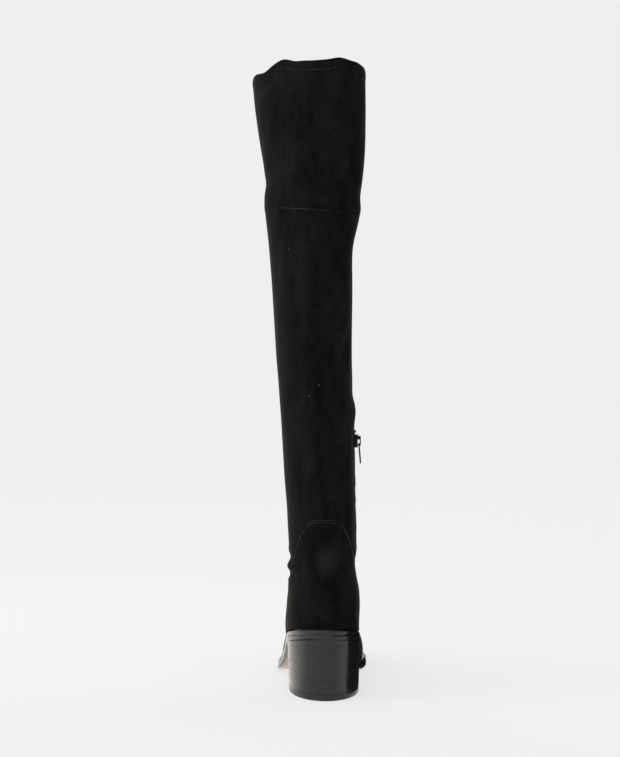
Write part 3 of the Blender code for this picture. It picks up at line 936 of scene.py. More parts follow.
@dataclass
class SuedeCover:
    """The suede of the shaft and foot, with the creases that wear and standing give it."""

    creases: tuple[Crease, ...] = (
        # the thigh, where its top corner stands out
        Crease(Face.BACK, (-60.0, 571.0), (-41.0, 583.0), -1.8, 6.0, 1.0),
        Crease(Face.BACK, (-56.0, 558.0), (-29.0, 570.0), 1.2, 7.0, 1.5),
        Crease(Face.BACK, (-46.0, 536.0), (-22.0, 552.0), 0.7, 9.0, -2.0),
        Crease(Face.BACK, (6.0, 585.0), (2.0, 530.0), 0.8, 8.0, 2.0),
        Crease(Face.BACK, (26.0, 590.0), (20.0, 540.0), -0.8, 9.0, 2.0),
        # the waist above the knee seam, where the empty thigh sinks in
        Crease(Face.BACK, (-20.0, 510.0), (-9.0, 491.0), 2.8, 4.0, 1.0),
        Crease(Face.BACK, (-9.0, 485.0), (8.0, 478.0), 3.2, 4.6, 1.0),
        Crease(Face.BACK, (-4.0, 518.0), (-10.0, 494.0), 1.6, 4.5, 1.0),
        Crease(Face.BACK, (22.0, 508.0), (4.0, 489.0), -2.3, 4.0, -1.0),
        Crease(Face.BACK, (32.0, 518.0), (17.0, 488.0), 3.0, 7.0, -1.0),
        Crease(Face.BACK, (-37.0, 499.0), (-18.0, 486.0), -2.4, 9.0),
        Crease(Face.BACK, (-50.0, 510.0), (-36.0, 504.0), 2.0, 5.0, 1.0),
        Crease(Face.BACK, (-48.0, 484.0), (-20.0, 477.0), 0.9, 5.0, 2.0),
        Crease(Face.BACK, (10.0, 474.0), (32.0, 478.0), -1.6, 6.0),
        Crease(Face.LATERAL, (-10.0, 497.0), (48.0, 494.0), 0.6, 6.0, 2.0),
        Crease(Face.MEDIAL, (-14.0, 483.0), (50.0, 481.0), 0.35, 8.0, 2.0),
        # the calf below the knee seam
        Crease(Face.BACK, (-30.0, 452.0), (-8.0, 446.0), 0.8, 7.0, 1.5),
        Crease(Face.BACK, (-25.0, 447.0), (-27.0, 377.0), 1.3, 5.0, 1.0),
        Crease(Face.BACK, (-35.0, 440.0), (-36.0, 372.0), -1.0, 5.0, 1.0),
        Crease(Face.BACK, (2.0, 450.0), (26.0, 440.0), 1.0, 6.0, -1.5),
        Crease(Face.BACK, (18.0, 434.0), (30.0, 426.0), 1.0, 5.0),
        Crease(Face.BACK, (8.0, 420.0), (6.0, 370.0), 0.5, 7.0, -2.0),
        Crease(Face.BACK, (25.0, 347.0), (19.0, 325.0), 1.7, 3.4),
        Crease(Face.BACK, (19.5, 327.0), (15.5, 302.0), 1.3, 3.2, 0.8),
        Crease(Face.BACK, (15.5, 304.0), (17.0, 284.0), 1.0, 3.6),
        Crease(Face.BACK, (-36.0, 330.0), (-24.0, 250.0), 0.7, 9.0, 3.0),
        Crease(Face.BACK, (-6.0, 262.0), (14.0, 250.0), 0.6, 7.0, 1.5),
        Crease(Face.BACK, (-14.0, 236.0), (16.0, 214.0), 0.6, 8.0, -2.0),
        Crease(Face.BACK, (-30.0, 205.0), (-24.0, 168.0), -0.7, 5.0, 1.0),
        # the ankle, where the shaft folds over the foot
        Crease(Face.LATERAL, (2.0, 111.5), (48.0, 109.0), 2.2, 3.0, -1.0),
        Crease(Face.LATERAL, (0.0, 119.5), (46.0, 118.5), -2.0, 3.4, -0.8),
        Crease(Face.LATERAL, (4.0, 127.0), (56.0, 131.0), 1.3, 3.6, 1.0),
        Crease(Face.LATERAL, (44.0, 122.0), (84.0, 146.0), 1.6, 5.0, -3.0),
        Crease(Face.LATERAL, (54.0, 108.0), (92.0, 128.0), 1.4, 5.0, -3.0),
        Crease(Face.BACK, (-33.0, 114.0), (-14.0, 118.0), 0.9, 4.0, 1.0),
        Crease(Face.BACK, (-34.0, 124.0), (-20.0, 131.0), 0.7, 4.5, 1.0),
        Crease(Face.BACK, (-16.0, 119.0), (18.0, 117.0), 0.5, 6.0, -1.5),
        Crease(Face.BACK, (3.0, 140.0), (5.0, 122.0), -1.0, 11.0),
        Crease(Face.BACK, (-22.0, 119.0), (-12.0, 119.0), -0.9, 4.5),
        Crease(Face.BACK, (16.6, 106.0), (28.0, 90.6), 1.3, 6.0, 1.0),
        Crease(Face.BACK, (-26.0, 98.0), (-10.0, 88.0), 0.7, 7.0, 1.0),
        Crease(Face.BACK, (14.0, 122.0), (30.0, 126.0), 0.8, 4.5, 1.0),
        Crease(Face.MEDIAL, (6.0, 124.0), (54.0, 129.0), 1.2, 5.0, 1.5),
        Crease(Face.MEDIAL, (30.0, 112.0), (82.0, 140.0), 1.2, 5.5, -3.0),
        Crease(Face.MEDIAL, (6.0, 270.0), (36.0, 276.0), -0.8, 7.0, -2.0),
        Crease(Face.FRONT, (-26.0, 136.0), (26.0, 139.0), 1.7, 5.5, 2.0),
        Crease(Face.FRONT, (-24.0, 152.0), (22.0, 149.0), 1.2, 6.0, -2.0),
        Crease(Face.FRONT, (-20.0, 172.0), (24.0, 168.0), 0.8, 7.0, 2.0),
        Crease(Face.FRONT, (-24.0, 112.0), (22.0, 116.0), 1.0, 5.0, 2.0),
        Crease(Face.FRONT, (-46.0, 486.0), (24.0, 489.0), 1.6, 8.0, 3.0),
        Crease(Face.FRONT, (-40.0, 446.0), (20.0, 442.0), 1.0, 8.0, -3.0),
        Crease(Face.FRONT, (-44.0, 560.0), (-28.0, 510.0), 0.9, 9.0, 3.0),
    )
    drape: float = 0.55
    drape_size: Point = (46.0, 46.0, 78.0)
    ripple: float = 0.22
    ripple_size: Point = (17.0, 17.0, 30.0)
    shaft: Pair = (70.0, 130.0)
    foot_calm: float = 0.25
    pucker: float = 0.16
    puckers: float = 34.0
    knee_seam: float = 462.0
    knee_reach: float = 11.0
    vamp_break: float = 152.0
    vamp_depth: float = 0.32
    vamp_pitch: float = 2.9
    vamp_middle: float = 128.0
    vamp_reach: float = 15.0
    rim: Pair = (555.0, 599.0)
    rim_front: Pair = (22.0, 62.0)
    stiff_edge: Pair = (596.0, 603.0)
    stiffness: float = 0.7
    rim_waves: tuple[RimWave, ...] = (
        RimWave(middle=-58.0, reach=10.0, height=-2.8),
        RimWave(middle=-38.5, reach=14.5, height=3.9),
        RimWave(middle=-8.0, reach=17.0, height=-0.6),
        RimWave(middle=16.0, reach=13.0, height=1.8),
        RimWave(middle=38.0, reach=8.0, height=-1.2))

    def lift(self, point: Vector) -> float:
        """Work out how far the soft top edge waves up or down.

        Args:
            point: Place on the wall, in millimetres.

        Returns:
            The move in millimetres, upwards.
        """
        high = soft_step(point.z, *self.rim)
        share = high * (1.0 - soft_step(point.y, *self.rim_front))
        if share <= 0.0:
            return 0.6 * high * math.sin(point.x / 11.0)
        return share * sum(wave.lift(point.x) for wave in self.rim_waves)

    def flex(self, point: Vector, normal: Vector) -> float:
        """Work out the fine ripples where the vamp bends behind the toes.

        Args:
            point: Place on the wall, in millimetres.
            normal: Outward direction of the wall.

        Returns:
            The move in millimetres, outwards.
        """
        toes = soft_step(point.y, 96.0, 120.0) * (1.0 - soft_step(point.y, 150.0, 170.0))
        if toes <= 0.0 or normal.z <= 0.1:
            return 0.0
        wave = math.sin((point.y + 0.18 * abs(point.x) - self.vamp_break) / self.vamp_pitch)
        fade = math.exp(-((point.y - self.vamp_middle) / self.vamp_reach) ** 2)
        return self.vamp_depth * fade * toes * wave * soft_step(normal.z, 0.1, 0.6)

    def push(self, point: Vector, normal: Vector) -> float:
        """Work out how far the suede stands in or out of the plain form.

        Args:
            point: Place on the wall, in millimetres in the shared frame.
            normal: Outward direction of the wall there.

        Returns:
            The move in millimetres, outwards.
        """
        move = sum(crease.push(point, normal) for crease in self.creases)
        calm = self.foot_calm + (1.0 - self.foot_calm) * soft_step(point.z, *self.shaft)
        slow = Vector([along / size for along, size in zip(point, self.drape_size)])
        quick = Vector([along / size for along, size in zip(point, self.ripple_size)])
        move += self.drape * calm * noise.noise(slow)
        move += self.ripple * calm * noise.noise(quick + Vector((7.0, 3.0, 1.0)))
        near_seam = math.exp(-((point.z - self.knee_seam) / self.knee_reach) ** 2)
        turn = math.atan2(point.x + 8.0, -(point.y - 28.0))
        gathered = math.sin(turn * self.puckers + 2.0 * noise.noise(slow * 3.0))
        move += self.pucker * near_seam * gathered + self.flex(point, normal)
        return move * (1.0 - self.stiffness * soft_step(point.z, *self.stiff_edge))


AXIS: tuple[Point, ...] = ((-14.0, 28.0, 640.0), (-14.0, 28.0, 470.0), (-8.0, 28.0, 300.0),
                           (-3.0, 27.0, 110.0), (0.0, 40.0, 84.0), (0.0, 90.0, 56.0),
                           (-4.0, 140.0, 27.0), (-4.0, 186.0, 17.0))


def from_axis(point: Vector) -> Vector:
    """Point from the middle of the leg and foot to a place.

    Args:
        point: Place in millimetres.

    Returns:
        The vector from the nearest point of the middle line.
    """
    best = Vector((1e9, 0.0, 0.0))
    for low, high in zip(AXIS, AXIS[1:]):
        a, b = Vector(low), Vector(high)
        share = min(max((point - a).dot(b - a) / (b - a).length_squared, 0.0), 1.0)
        away = point - a.lerp(b, share)
        if away.length_squared < best.length_squared:
            best = away
    return best


@dataclass
class Upper:
    """The suede upper: one wall and the counter over its heel."""

    frame: dict
    cover: SuedeCover = field(default_factory=SuedeCover)
    long_edge: float = 6.5
    edge_on: float = 0.35
    facing_in: float = -0.2
    lining_top: float = 592.0
    counter_sink: float = 0.75
    behind: float = -250.0
    tree: BVHTree | None = None
    counter_tree: BVHTree | None = None

    def dress(self, work: bmesh.types.BMesh, sink: float = 0.0) -> None:
        """Push the creases into a wall, both of its faces alike.

        Args:
            work: The mesh.
            sink: Millimetres that the whole wall moves inwards.
        """
        work.normal_update()
        moves = []
        for vert in work.verts:
            place = vert.co / MM
            out = from_axis(place)
            normal = vert.normal * (1.0 if vert.normal.dot(out) >= 0.0 else -1.0)
            if abs(vert.normal.dot(out.normalized())) < self.edge_on:
                normal = (normal + out.normalized()).normalized()
            moves.append((normal * (self.cover.push(place, normal) - sink)
                          + Vector((0.0, 0.0, self.cover.lift(place)))) * MM)
        for vert, move in zip(work.verts, moves):
            vert.co += move
        work.normal_update()

    def finer(self, work: bmesh.types.BMesh) -> bmesh.types.BMesh:
        """Round a lofted wall and give it enough faces for the creases.

        Args:
            work: The mesh, which is freed.

        Returns:
            The finer mesh.
        """
        join_quads(work)
        work = rounded(work, 1)
        long_edges = [edge for edge in work.edges if edge.calc_length() > self.long_edge * MM]
        bmesh.ops.subdivide_edges(work, edges=long_edges, cuts=1, use_grid_fill=True)
        return rounded(work, 1)

    def build_wall(self, suede: bpy.types.Material, lining: bpy.types.Material) -> None:
        """Build the dressed wall of shaft and foot.

        Args:
            suede: Material of the outside and of the hem's edge.
            lining: Material of the inside.
        """
        work = self.finer(copy_node(self.frame, "upper", "suede upper"))
        for face in work.faces:
            place = face.calc_center_median() / MM
            inside = face.normal.dot(from_axis(place).normalized()) < self.facing_in
            face.material_index = int(inside and place.z < self.lining_top)
        self.dress(work)
        self.tree = BVHTree.FromBMesh(work)
        finish_piece(work, "upper_suede", [suede, lining], Body.BOOT, ("upper",))

    def build_counter(self, suede: bpy.types.Material) -> None:
        """Build the counter over the heel, sunk so that its skived edge lies close.

        Args:
            suede: Its material.
        """
        work = copy_node(self.frame, "counter", "counter")
        join_quads(work)
        work = rounded(work, 1)
        self.dress(work, self.counter_sink)
        self.counter_tree = BVHTree.FromBMesh(work)
        finish_piece(work, "counter_suede", [suede], Body.BOOT, ("counter",))

    def surface(self, origin: Vector, direction: Vector) -> tuple[Vector, Vector] | None:
        """Find the outermost suede from outside.

        Args:
            origin: Start of the ray in metres, outside the boot.
            direction: Way that it goes.

        Returns:
            The place in metres and the outward normal, or None.
        """
        best = None
        for tree in (self.tree, self.counter_tree):
            if tree is None:
                continue
            place, normal, _, reach = tree.ray_cast(origin, direction.normalized())
            if place is not None and (best is None or reach < best[2]):
                best = (place, normal if normal.dot(direction) < 0.0 else -normal, reach)
        return best[:2] if best else None

    def from_behind(self, across: float, height: float) -> tuple[Vector, Vector] | None:
        """Find the suede on the back of the boot.

        Args:
            across: Place across the boot, in millimetres.
            height: Its height.

        Returns:
            The place in metres and the outward normal, or None.
        """
        return self.surface(Vector((across, self.behind, height)) * MM, FORWARD)


@dataclass(frozen=True)
class Thread:
    """One row of sewing: the thread, its stitch and how far the stitches stand apart."""

    stitch: float
    pitch: float
    thickness: float
    seed: int
    lift: float = 0.06
    slack: float = 0.12
    drift: float = 0.04
    lean: float = 7.0

    def sew(self, work: bmesh.types.BMesh, path: Path) -> int:
        """Sew stitches along a path on a surface.

        Args:
            work: Mesh that the stitches go into.
            path: Places in metres with outward normals, close together.

        Returns:
            The number of stitches.
        """
        chance = random.Random(self.seed)
        run, due, count = 0.0, 0.0, 0
        for (here, normal), (there, _) in zip(path, path[1:]):
            step = (there - here).length
            while step > 1e-9 and due <= run + step:
                spot = here.lerp(there, (due - run) / step) + normal * (self.lift * MM)
                lean = Matrix.Rotation(math.radians(chance.uniform(-self.lean, self.lean)), 4, "Z")
                length = self.stitch * (1.0 + chance.uniform(-self.slack, self.slack))
                half = (0.5 * length, 0.5 * self.thickness, 0.5 * self.thickness)
                add_bead(work, place_at(spot, there - here, normal) @ lean, half, rings=5)
                due += self.pitch * MM * (1.0 + chance.uniform(-self.drift, self.drift))
                count += 1
            run += step
        return count


def outward(turn: float) -> Vector:
    """Give the level direction at a turn in degrees from the back, towards the lateral side."""
    return Vector((-math.sin(math.radians(turn)), -math.cos(math.radians(turn)), 0.0))


@dataclass
class Seams:
    """Stitches and seam strips of the upper, each laid on the dressed suede."""

    upper: Upper
    middle: Pair = (-14.0, 28.0)
    clear: float = 0.2
    steps: int = 240
    rim_drop: float = 8.6
    rim_turn: float = 6.0
    rim_between: Pair = (585.0, 612.0)
    back_step: float = 3.0
    arch_steps: int = 6
    arch_split: float = 159.0
    knee_heights: tuple[Pair, ...] = (
        (-180.0, 462.0), (-120.0, 460.0), (-85.0, 456.5), (-70.0, 456.6), (-55.0, 458.4),
        (-35.0, 460.2), (-7.0, 461.8), (17.0, 463.8), (28.0, 465.0), (37.0, 463.8),
        (50.0, 461.0), (65.0, 458.4), (85.0, 457.6), (120.0, 460.0), (180.0, 462.0))
    back_seam: tuple[Pair, ...] = (
        (600.0, -3.6), (584.0, -3.2), (535.0, -4.7), (500.0, -6.4), (462.0, -7.9),
        (400.0, -6.9), (340.0, -5.6), (283.0, -4.2), (230.0, -1.6), (168.0, 1.5),
        (110.0, 2.0), (68.0, 2.4))
    arch: tuple[Pair, ...] = (
        (-33.0, 126.0), (-29.5, 134.0), (-25.2, 144.5), (-21.4, 153.5), (-18.2, 161.0),
        (-14.6, 166.0), (-10.0, 168.4), (-4.0, 168.9), (4.0, 168.9), (9.5, 168.6),
        (13.6, 166.6), (17.0, 161.5), (20.0, 153.5), (23.6, 144.0), (27.6, 134.0),
        (30.6, 126.0))
    rims: list[float] = field(default_factory=list)

    def read(self, table: tuple[Pair, ...], at: float) -> float:
        """Read a table of two columns between its rows.

        Args:
            table: Rows with rising or falling first column.
            at: Value of the first column.

        Returns:
            The value of the second column.
        """
        rows = sorted(table)
        if at <= rows[0][0]:
            return rows[0][1]
        for (a, x), (b, y) in zip(rows, rows[1:]):
            if at <= b:
                share = soft_step(at, a, b) * 0.4 + 0.6 * (at - a) / (b - a)
                return x + (y - x) * share
        return rows[-1][1]

    def from_side(self, turn: float, level: float) -> tuple[Vector, Vector] | None:
        """Find the suede of the shaft at a turn and a height.

        Args:
            turn: Degrees from the back, towards the lateral side.
            level: Height in millimetres.

        Returns:
            The place in metres and the outward normal, or None.
        """
        way = outward(turn)
        return self.upper.surface(Vector((*self.middle, level)) * MM + way * self.clear, -way)

    def around(self, height: Callable[[float], float]) -> Path:
        """Walk round the shaft on the outside of the suede.

        Args:
            height: Function of the turn in degrees that gives millimetres, 0 at the back.

        Returns:
            Places with outward normals.
        """
        path = []
        for k in range(self.steps + 1):
            turn = 360.0 * k / self.steps
            found = self.from_side(turn, height((turn + 180.0) % 360.0 - 180.0))
            if found:
                path.append(found)
        return path

    def knee_height(self, turn: float) -> float:
        """Find the height in millimetres of the knee seam at a turn."""
        return self.read(self.knee_heights, turn)

    def rim_height(self, turn: float) -> float:
        """Find the height of the top edge at a turn.

        Args:
            turn: Degrees from the back, towards the lateral side.

        Returns:
            The height in millimetres.
        """
        low, high = self.rim_between
        for _ in range(9):
            level = 0.5 * (low + high)
            hit = self.from_side(turn, level)
            middle = Vector((*self.middle, level)) * MM
            near = hit is not None and (hit[0] - middle).dot(outward(turn)) > 0.0
            low, high = (level, high) if near else (low, level)
        return low

    def hem_height(self, turn: float) -> float:
        """Find the height of the hem's row of sewing at a turn.

        Args:
            turn: Degrees from the back, towards the lateral side.

        Returns:
            The height in millimetres.
        """
        place = (turn + 180.0) / self.rim_turn
        low = min(int(place), len(self.rims) - 2)
        level = self.rims[low] + (self.rims[low + 1] - self.rims[low]) * (place - low)
        return level - self.rim_drop + 0.4 * math.sin(math.radians(turn * 5.0))

    def edge_height(self, turn: float) -> float:
        """Find the height in millimetres of the thread above the hem's row at a turn."""
        return self.hem_height(turn) + 2.6

    def down_back(self, top: float, bottom: float) -> Path:
        """Walk down the back seam.

        Args:
            top: First height in millimetres.
            bottom: Last height.

        Returns:
            Places with outward normals.
        """
        path = []
        count = max(int((top - bottom) / self.back_step), 2)
        for k in range(count + 1):
            level = top + (bottom - top) * k / count
            found = self.upper.from_behind(self.read(self.back_seam, level), level)
            if found:
                path.append(found)
        return path

    def on_back(self, points: list[Pair]) -> Path:
        """Lay places across and up onto the back of the boot.

        Args:
            points: Millimetres across and up.

        Returns:
            Places with outward normals.
        """
        path = []
        for (ax, az), (bx, bz) in zip(points, points[1:]):
            for k in range(self.arch_steps):
                share = k / self.arch_steps
                found = self.upper.from_behind(ax + (bx - ax) * share, az + (bz - az) * share)
                if found:
                    path.append(found)
        return path

    def finish_rows(self, work: bmesh.types.BMesh, name: str,
                    threads: list[bpy.types.Material], across: Pair, bottom: float = 0.0
                    ) -> None:
        """Give the pale thread to the stretch of a row that catches the light, as a painted
        highlight, and the dim thread elsewhere.

        Args:
            work: The stitches.
            name: Their name.
            threads: The dim thread and the pale thread.
            across: Ends of the stretch across the back that takes the pale thread as painted
                highlight, in millimetres.
            bottom: Height that it begins at.
        """
        for face in work.faces:
            spot = face.calc_center_median() / MM
            # painted highlight: pale thread on the stretch of the row that catches the light
            painted_highlight = spot.y < 20.0 and bottom < spot.z
            face.material_index = int(painted_highlight and across[0] < spot.x < across[1])
        finish_piece(work, name, threads, Body.BOOT)

    def sew_back(self, work: bmesh.types.BMesh) -> int:
        """Sew the counter's arch: two rows over its top and one down each side.

        Args:
            work: Mesh that the stitches go into.

        Returns:
            The number of stitches.
        """
        top = [spot for spot in self.arch if spot[1] > self.arch_split]
        inner = [(x * 0.93, z - 2.2) for x, z in self.arch if z > 161.0]
        row = Thread(stitch=2.0, pitch=2.6, thickness=0.3, seed=8)
        count = row.sew(work, self.on_back(top)) + row.sew(work, self.on_back(inner))
        row = Thread(stitch=1.8, pitch=2.7, thickness=0.16, lift=-0.02, seed=9)
        for side in SIDES:
            count += row.sew(work, self.on_back([spot for spot in self.arch if spot not in top
                                                 and spot[0] * side > 0.0]))
        return count

    def build(self, pale: bpy.types.Material, dim: bpy.types.Material,
              dark: bpy.types.Material, suede: bpy.types.Material) -> None:
        """Sew every row and lay the back seam's strip.

        Args:
            pale: Thread painted lighter as a highlight where the knee, hem and arch rows catch the
                light.
            dim: The same thread elsewhere.
            dark: Thread of the counter.
            suede: Material of the strip.
        """
        work = bmesh.new()
        row = Thread(stitch=2.3, pitch=3.0, thickness=0.34, seed=11)
        count = row.sew(work, self.around(self.knee_height))
        self.finish_rows(work, "stitches_knee", [dim, pale], (-40.0, 0.0))
        turns = range(int(360.0 / self.rim_turn) + 1)
        self.rims = [self.rim_height(k * self.rim_turn - 180.0) for k in turns]
        work = bmesh.new()
        row = Thread(stitch=2.3, pitch=3.1, thickness=0.32, seed=5)
        count += row.sew(work, self.around(self.hem_height))
        self.finish_rows(work, "stitches_hem", [dim, pale], (-42.0, 22.0))
        work = bmesh.new()
        row = Thread(stitch=2.2, pitch=3.1, thickness=0.22, seed=6)
        count += row.sew(work, self.around(self.edge_height))
        finish_piece(work, "stitches_rim", [dark], Body.BOOT)
        work = bmesh.new()
        count += self.sew_back(work)
        self.finish_rows(work, "stitches_back", [dark, pale], (-17.0, 14.0), bottom=163.0)
        work = bmesh.new()
        for top, bottom in ((594.0, 465.0), (459.0, 171.0)):
            strip_along(work, self.down_back(top, bottom), 1.3, 0.2)
        bmesh.ops.recalc_face_normals(work, faces=work.faces)
        finish_piece(work, "back_seam", [suede], Body.BOOT)
        LOG.info("sewn: %d stitches", count)


@dataclass
class Zip:
    """The medial zip: woven tapes, its chain of teeth, the slider and the pull."""

    frame: dict
    upper: Upper
    steps: int = 110
    near: int = 8
    even_chain: int = 4
    even_sides: int = 3
    tape_width: float = 5.6
    tape_rise: float = 0.5
    tooth: Point = (0.8, 2.3, 1.0)
    tooth_rise: float = 0.25
    tooth_shift: float = 0.55
    pitch: float = 1.55
    wrap: float = 1.25
    skin: float = 0.2
    bridge: Point = (2.6, 16.5, 245.8)
    bridge_size: Point = (3.2, 3.0, 3.6)
    pull_rise: float = 0.45

    def middle(self) -> Path:
        """Find the middle of the chain from the CAD zip.

        Returns:
            Places with outward normals, from the top down.
        """
        verts = [vert.co.copy() for vert in self.frame["nodes"]["zip"].data.vertices]
        low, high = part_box("zip")
        path = []
        for k in range(self.steps + 1):
            level = high.z - 0.0005 + (low.z - high.z + 0.001) * k / self.steps
            near = sorted(verts, key=lambda co: abs(co.z - level))[:self.near]
            weights = [1.0 / (abs(co.z - level) + 0.004) for co in near]
            forward = sum(co.y * weight for co, weight in zip(near, weights)) / sum(weights)
            found = self.upper.surface(Vector((0.25, forward, level)), Vector((-1.0, 0.0, 0.0)))
            if found:
                path.append(found)
        return [(Vector((own.x, even.y, own.z)), normal) for (own, _), (even, normal)
                in zip(path, averaged(path, self.even_chain))]

    def beside(self, path: Path, away: float) -> Path:
        """Find an even line on the suede that runs beside the chain.

        Args:
            path: Middle of the chain.
            away: Millimetres from it, towards the heel or the toe.

        Returns:
            Places with outward normals.
        """
        line = []
        for number, (place, normal) in enumerate(path):
            across = normal.cross(ahead_at(path, number).normalized())
            found = self.upper.surface(place + normal * 0.02 + across * (away * MM), -normal)
            if found:
                line.append(found)
        return averaged(line, self.even_sides)

    def teeth(self, path: Path) -> bmesh.types.BMesh:
        """Build the teeth, to either side of the chain's middle in turn.

        Args:
            path: Middle of the chain.

        Returns:
            The mesh.
        """
        work = bmesh.new()
        run, due, count = 0.0, 0.0, 0
        for (here, normal), (there, _) in zip(path, path[1:]):
            step = (there - here).length
            while due <= run + step:
                side = SIDES[count % 2]
                spot = here.lerp(there, (due - run) / step)
                stand = place_at(spot + normal * (self.tape_rise + self.tooth_rise) * MM,
                                 there - here, normal)
                shift = Matrix.Translation((0.0, side * self.tooth_shift * MM, 0.0))
                soften(work, add_block(work, stand @ shift, self.tooth), 0.18, 1)
                due += self.pitch * MM
                count += 1
            run += step
        return work

    def build(self, tape: bpy.types.Material, chain: bpy.types.Material,
              metal: bpy.types.Material, suede: bpy.types.Material,
              thread: bpy.types.Material) -> None:
        """Build tapes, teeth, the suede's turned edges, stop, slider and pull.

        Args:
            tape: Woven tape.
            chain: Teeth.
            metal: Slider, stop and pull.
            suede: Turned edges beside the zip.
            thread: Sewing beside the zip.
        """
        path = self.middle()
        work = bmesh.new()
        strip_along(work, path, self.tape_width, self.tape_rise)
        bmesh.ops.recalc_face_normals(work, faces=work.faces)
        finish_piece(work, "zip_tape", [tape], Body.BOOT)
        finish_piece(self.teeth(path), "zip_teeth", [chain], Body.BOOT, ("zip",))
        work = bmesh.new()
        for side in SIDES:
            strip_along(work, self.beside(path, side * 4.3), 3.6, 0.75)
        bmesh.ops.recalc_face_normals(work, faces=work.faces)
        finish_piece(work, "zip_facings", [suede], Body.BOOT)
        work = bmesh.new()
        rows = Thread(stitch=2.0, pitch=2.7, thickness=0.3, seed=21, lift=0.78)
        for side in SIDES:
            rows.sew(work, self.beside(path, side * 4.6))
        finish_piece(work, "stitches_zip", [thread], Body.BOOT)
        self.slider(metal)
        self.pull(metal)
        self.stop(path, metal)

    def slider(self, metal: bpy.types.Material) -> None:
        """Build the slider, which reaches down around the teeth, with its bridge.

        Args:
            metal: Its material.
        """
        work = copy_node(self.frame, "zip_slider", "slider_body")
        inner = min(vert.co.x for vert in work.verts)
        for vert in work.verts:
            if vert.co.x < inner + self.skin * MM:
                vert.co.x -= self.wrap * MM
        middle = Vector((inner, 0.0, 0.0)) + Vector(self.bridge) * MM
        add_block(work, Matrix.Translation(middle), self.bridge_size)
        self.harden(work, "zip_slider", "slider_body", Body.BOOT, metal)

    def pull(self, metal: bpy.types.Material) -> None:
        """Build the pull, whose outer face stands prouder than its core.

        Args:
            metal: Its material.
        """
        work = copy_node(self.frame, "zip_pull", "pull_tab")
        work.normal_update()
        for vert in work.verts:
            if vert.normal.x > 0.3:
                vert.co.x += self.pull_rise * MM
        self.harden(work, "zip_pull", "pull_tab", Body.PULL, metal)

    def harden(self, work: bmesh.types.BMesh, node: str, name: str, body: Body,
               metal: bpy.types.Material) -> None:
        """Give a cast CAD piece its rounded edges.

        Args:
            work: Its mesh, which is freed.
            node: CAD node that it replaces.
            name: Name of the new piece.
            body: Body it rides on.
            metal: Its material.
        """
        work.normal_update()
        melt(work, 1.0)
        soften(work, hard_edges(work, 40.0), 0.16, 2, clamp=True)
        bmesh.ops.triangulate(work, faces=[face for face in work.faces if len(face.verts) > 4])
        piece = finish_piece(work, name, [metal], body, (node,), smooth=False)
        shade_by_angle(piece, 32.0)

    def stop(self, path: Path, metal: bpy.types.Material) -> None:
        """Build the small stop at the top of the chain.

        Args:
            path: Middle of the chain.
            metal: Its material.
        """
        work = bmesh.new()
        place, normal = path[1]
        stand = place_at(place + normal * 1.0 * MM, path[3][0] - place, normal)
        soften(work, add_block(work, stand, (1.5, 3.8, 1.7)), 0.45, 3)
        finish_piece(work, "zip_stop", [metal], Body.BOOT)


@dataclass
class Bottom:
    """Sole, heel and insole, copied from the frame and rounded."""

    frame: dict
    edge: float = 0.1
    breast: float = 26.0
    corner: float = 38.0
    facing_down: float = -0.82
    back: float = -8.0
    back_length: float = 20.0

    def plate(self, node: str, name: str, side: bpy.types.Material,
              under: bpy.types.Material, levels: int = 2, edge: float | None = None,
              swell: float = 0.0, rim: float = 0.0, reach: float = 0.0) -> None:
        """Copy a plate or block, round its edges and give its underside a material.

        Args:
            node: CAD node.
            name: Name of the new piece.
            side: Material of top and sides.
            under: Material of the underside.
            levels: Levels of rounding.
            edge: Width of the rounded edge in millimetres.
            swell: Millimetres that top and underside move out, so that neighbours meet.
            rim: Width in millimetres of the inked rim around the underside.
            reach: Millimetres that its back edge is dressed out to meet the heel's.
        """
        work = copy_node(self.frame, node, name)
        melt(work, 0.4)
        join_quads(work)
        hold = work.edges.layers.float.new("crease_edge")
        for item in hard_edges(work, self.corner):
            item[hold] = 1.0
        work = rounded(work, levels)
        work.normal_update()
        for face in work.faces:
            open_below = node == "top_lift" or face.calc_center_median().y > self.breast * MM
            face.material_index = int(open_below and face.normal.z < self.facing_down)
        if rim:
            bared = [face for face in work.faces if face.material_index]
            for face in bmesh.ops.inset_region(work, faces=bared, thickness=rim * MM,
                                               use_even_offset=False)["faces"]:
                face.material_index = 0
        soften(work, hard_edges(work, self.corner), edge or self.edge, 2, clamp=True)
        work.normal_update()
        for vert in work.verts:
            behind = max(self.back * MM - vert.co.y, 0.0) / (self.back_length * MM)
            vert.co.y -= reach * MM * behind
            if abs(vert.normal.z) > 0.3 and vert.co.z > 1.0 * MM:
                vert.co.z += math.copysign(swell * MM, vert.normal.z)
        piece = finish_piece(work, name, [side, under], Body.BOOT, (node,))
        shade_by_angle(piece, 16.0)

    def build(self, finishes: dict[str, bpy.types.Material]) -> None:
        """Build every piece under the foot.

        Args:
            finishes: Materials by name.
        """
        self.plate("outsole", "outsole_edge", finishes["edge"],
                   finishes["tan"], swell=0.13, rim=2.6, reach=2.6)
        self.plate("midsole", "midsole_edge", finishes["edge"],
                   finishes["edge"], swell=0.13, reach=2.2)
        self.plate("insole", "insole_cover", finishes["insole"],
                   finishes["insole"], levels=1, edge=0.4)
        self.plate("heel", "heel_stack", finishes["stack"], finishes["stack"],
                   swell=0.13)
        self.plate("top_lift", "heel_lift", finishes["stack"],
                   finishes["rubber"], edge=0.2)


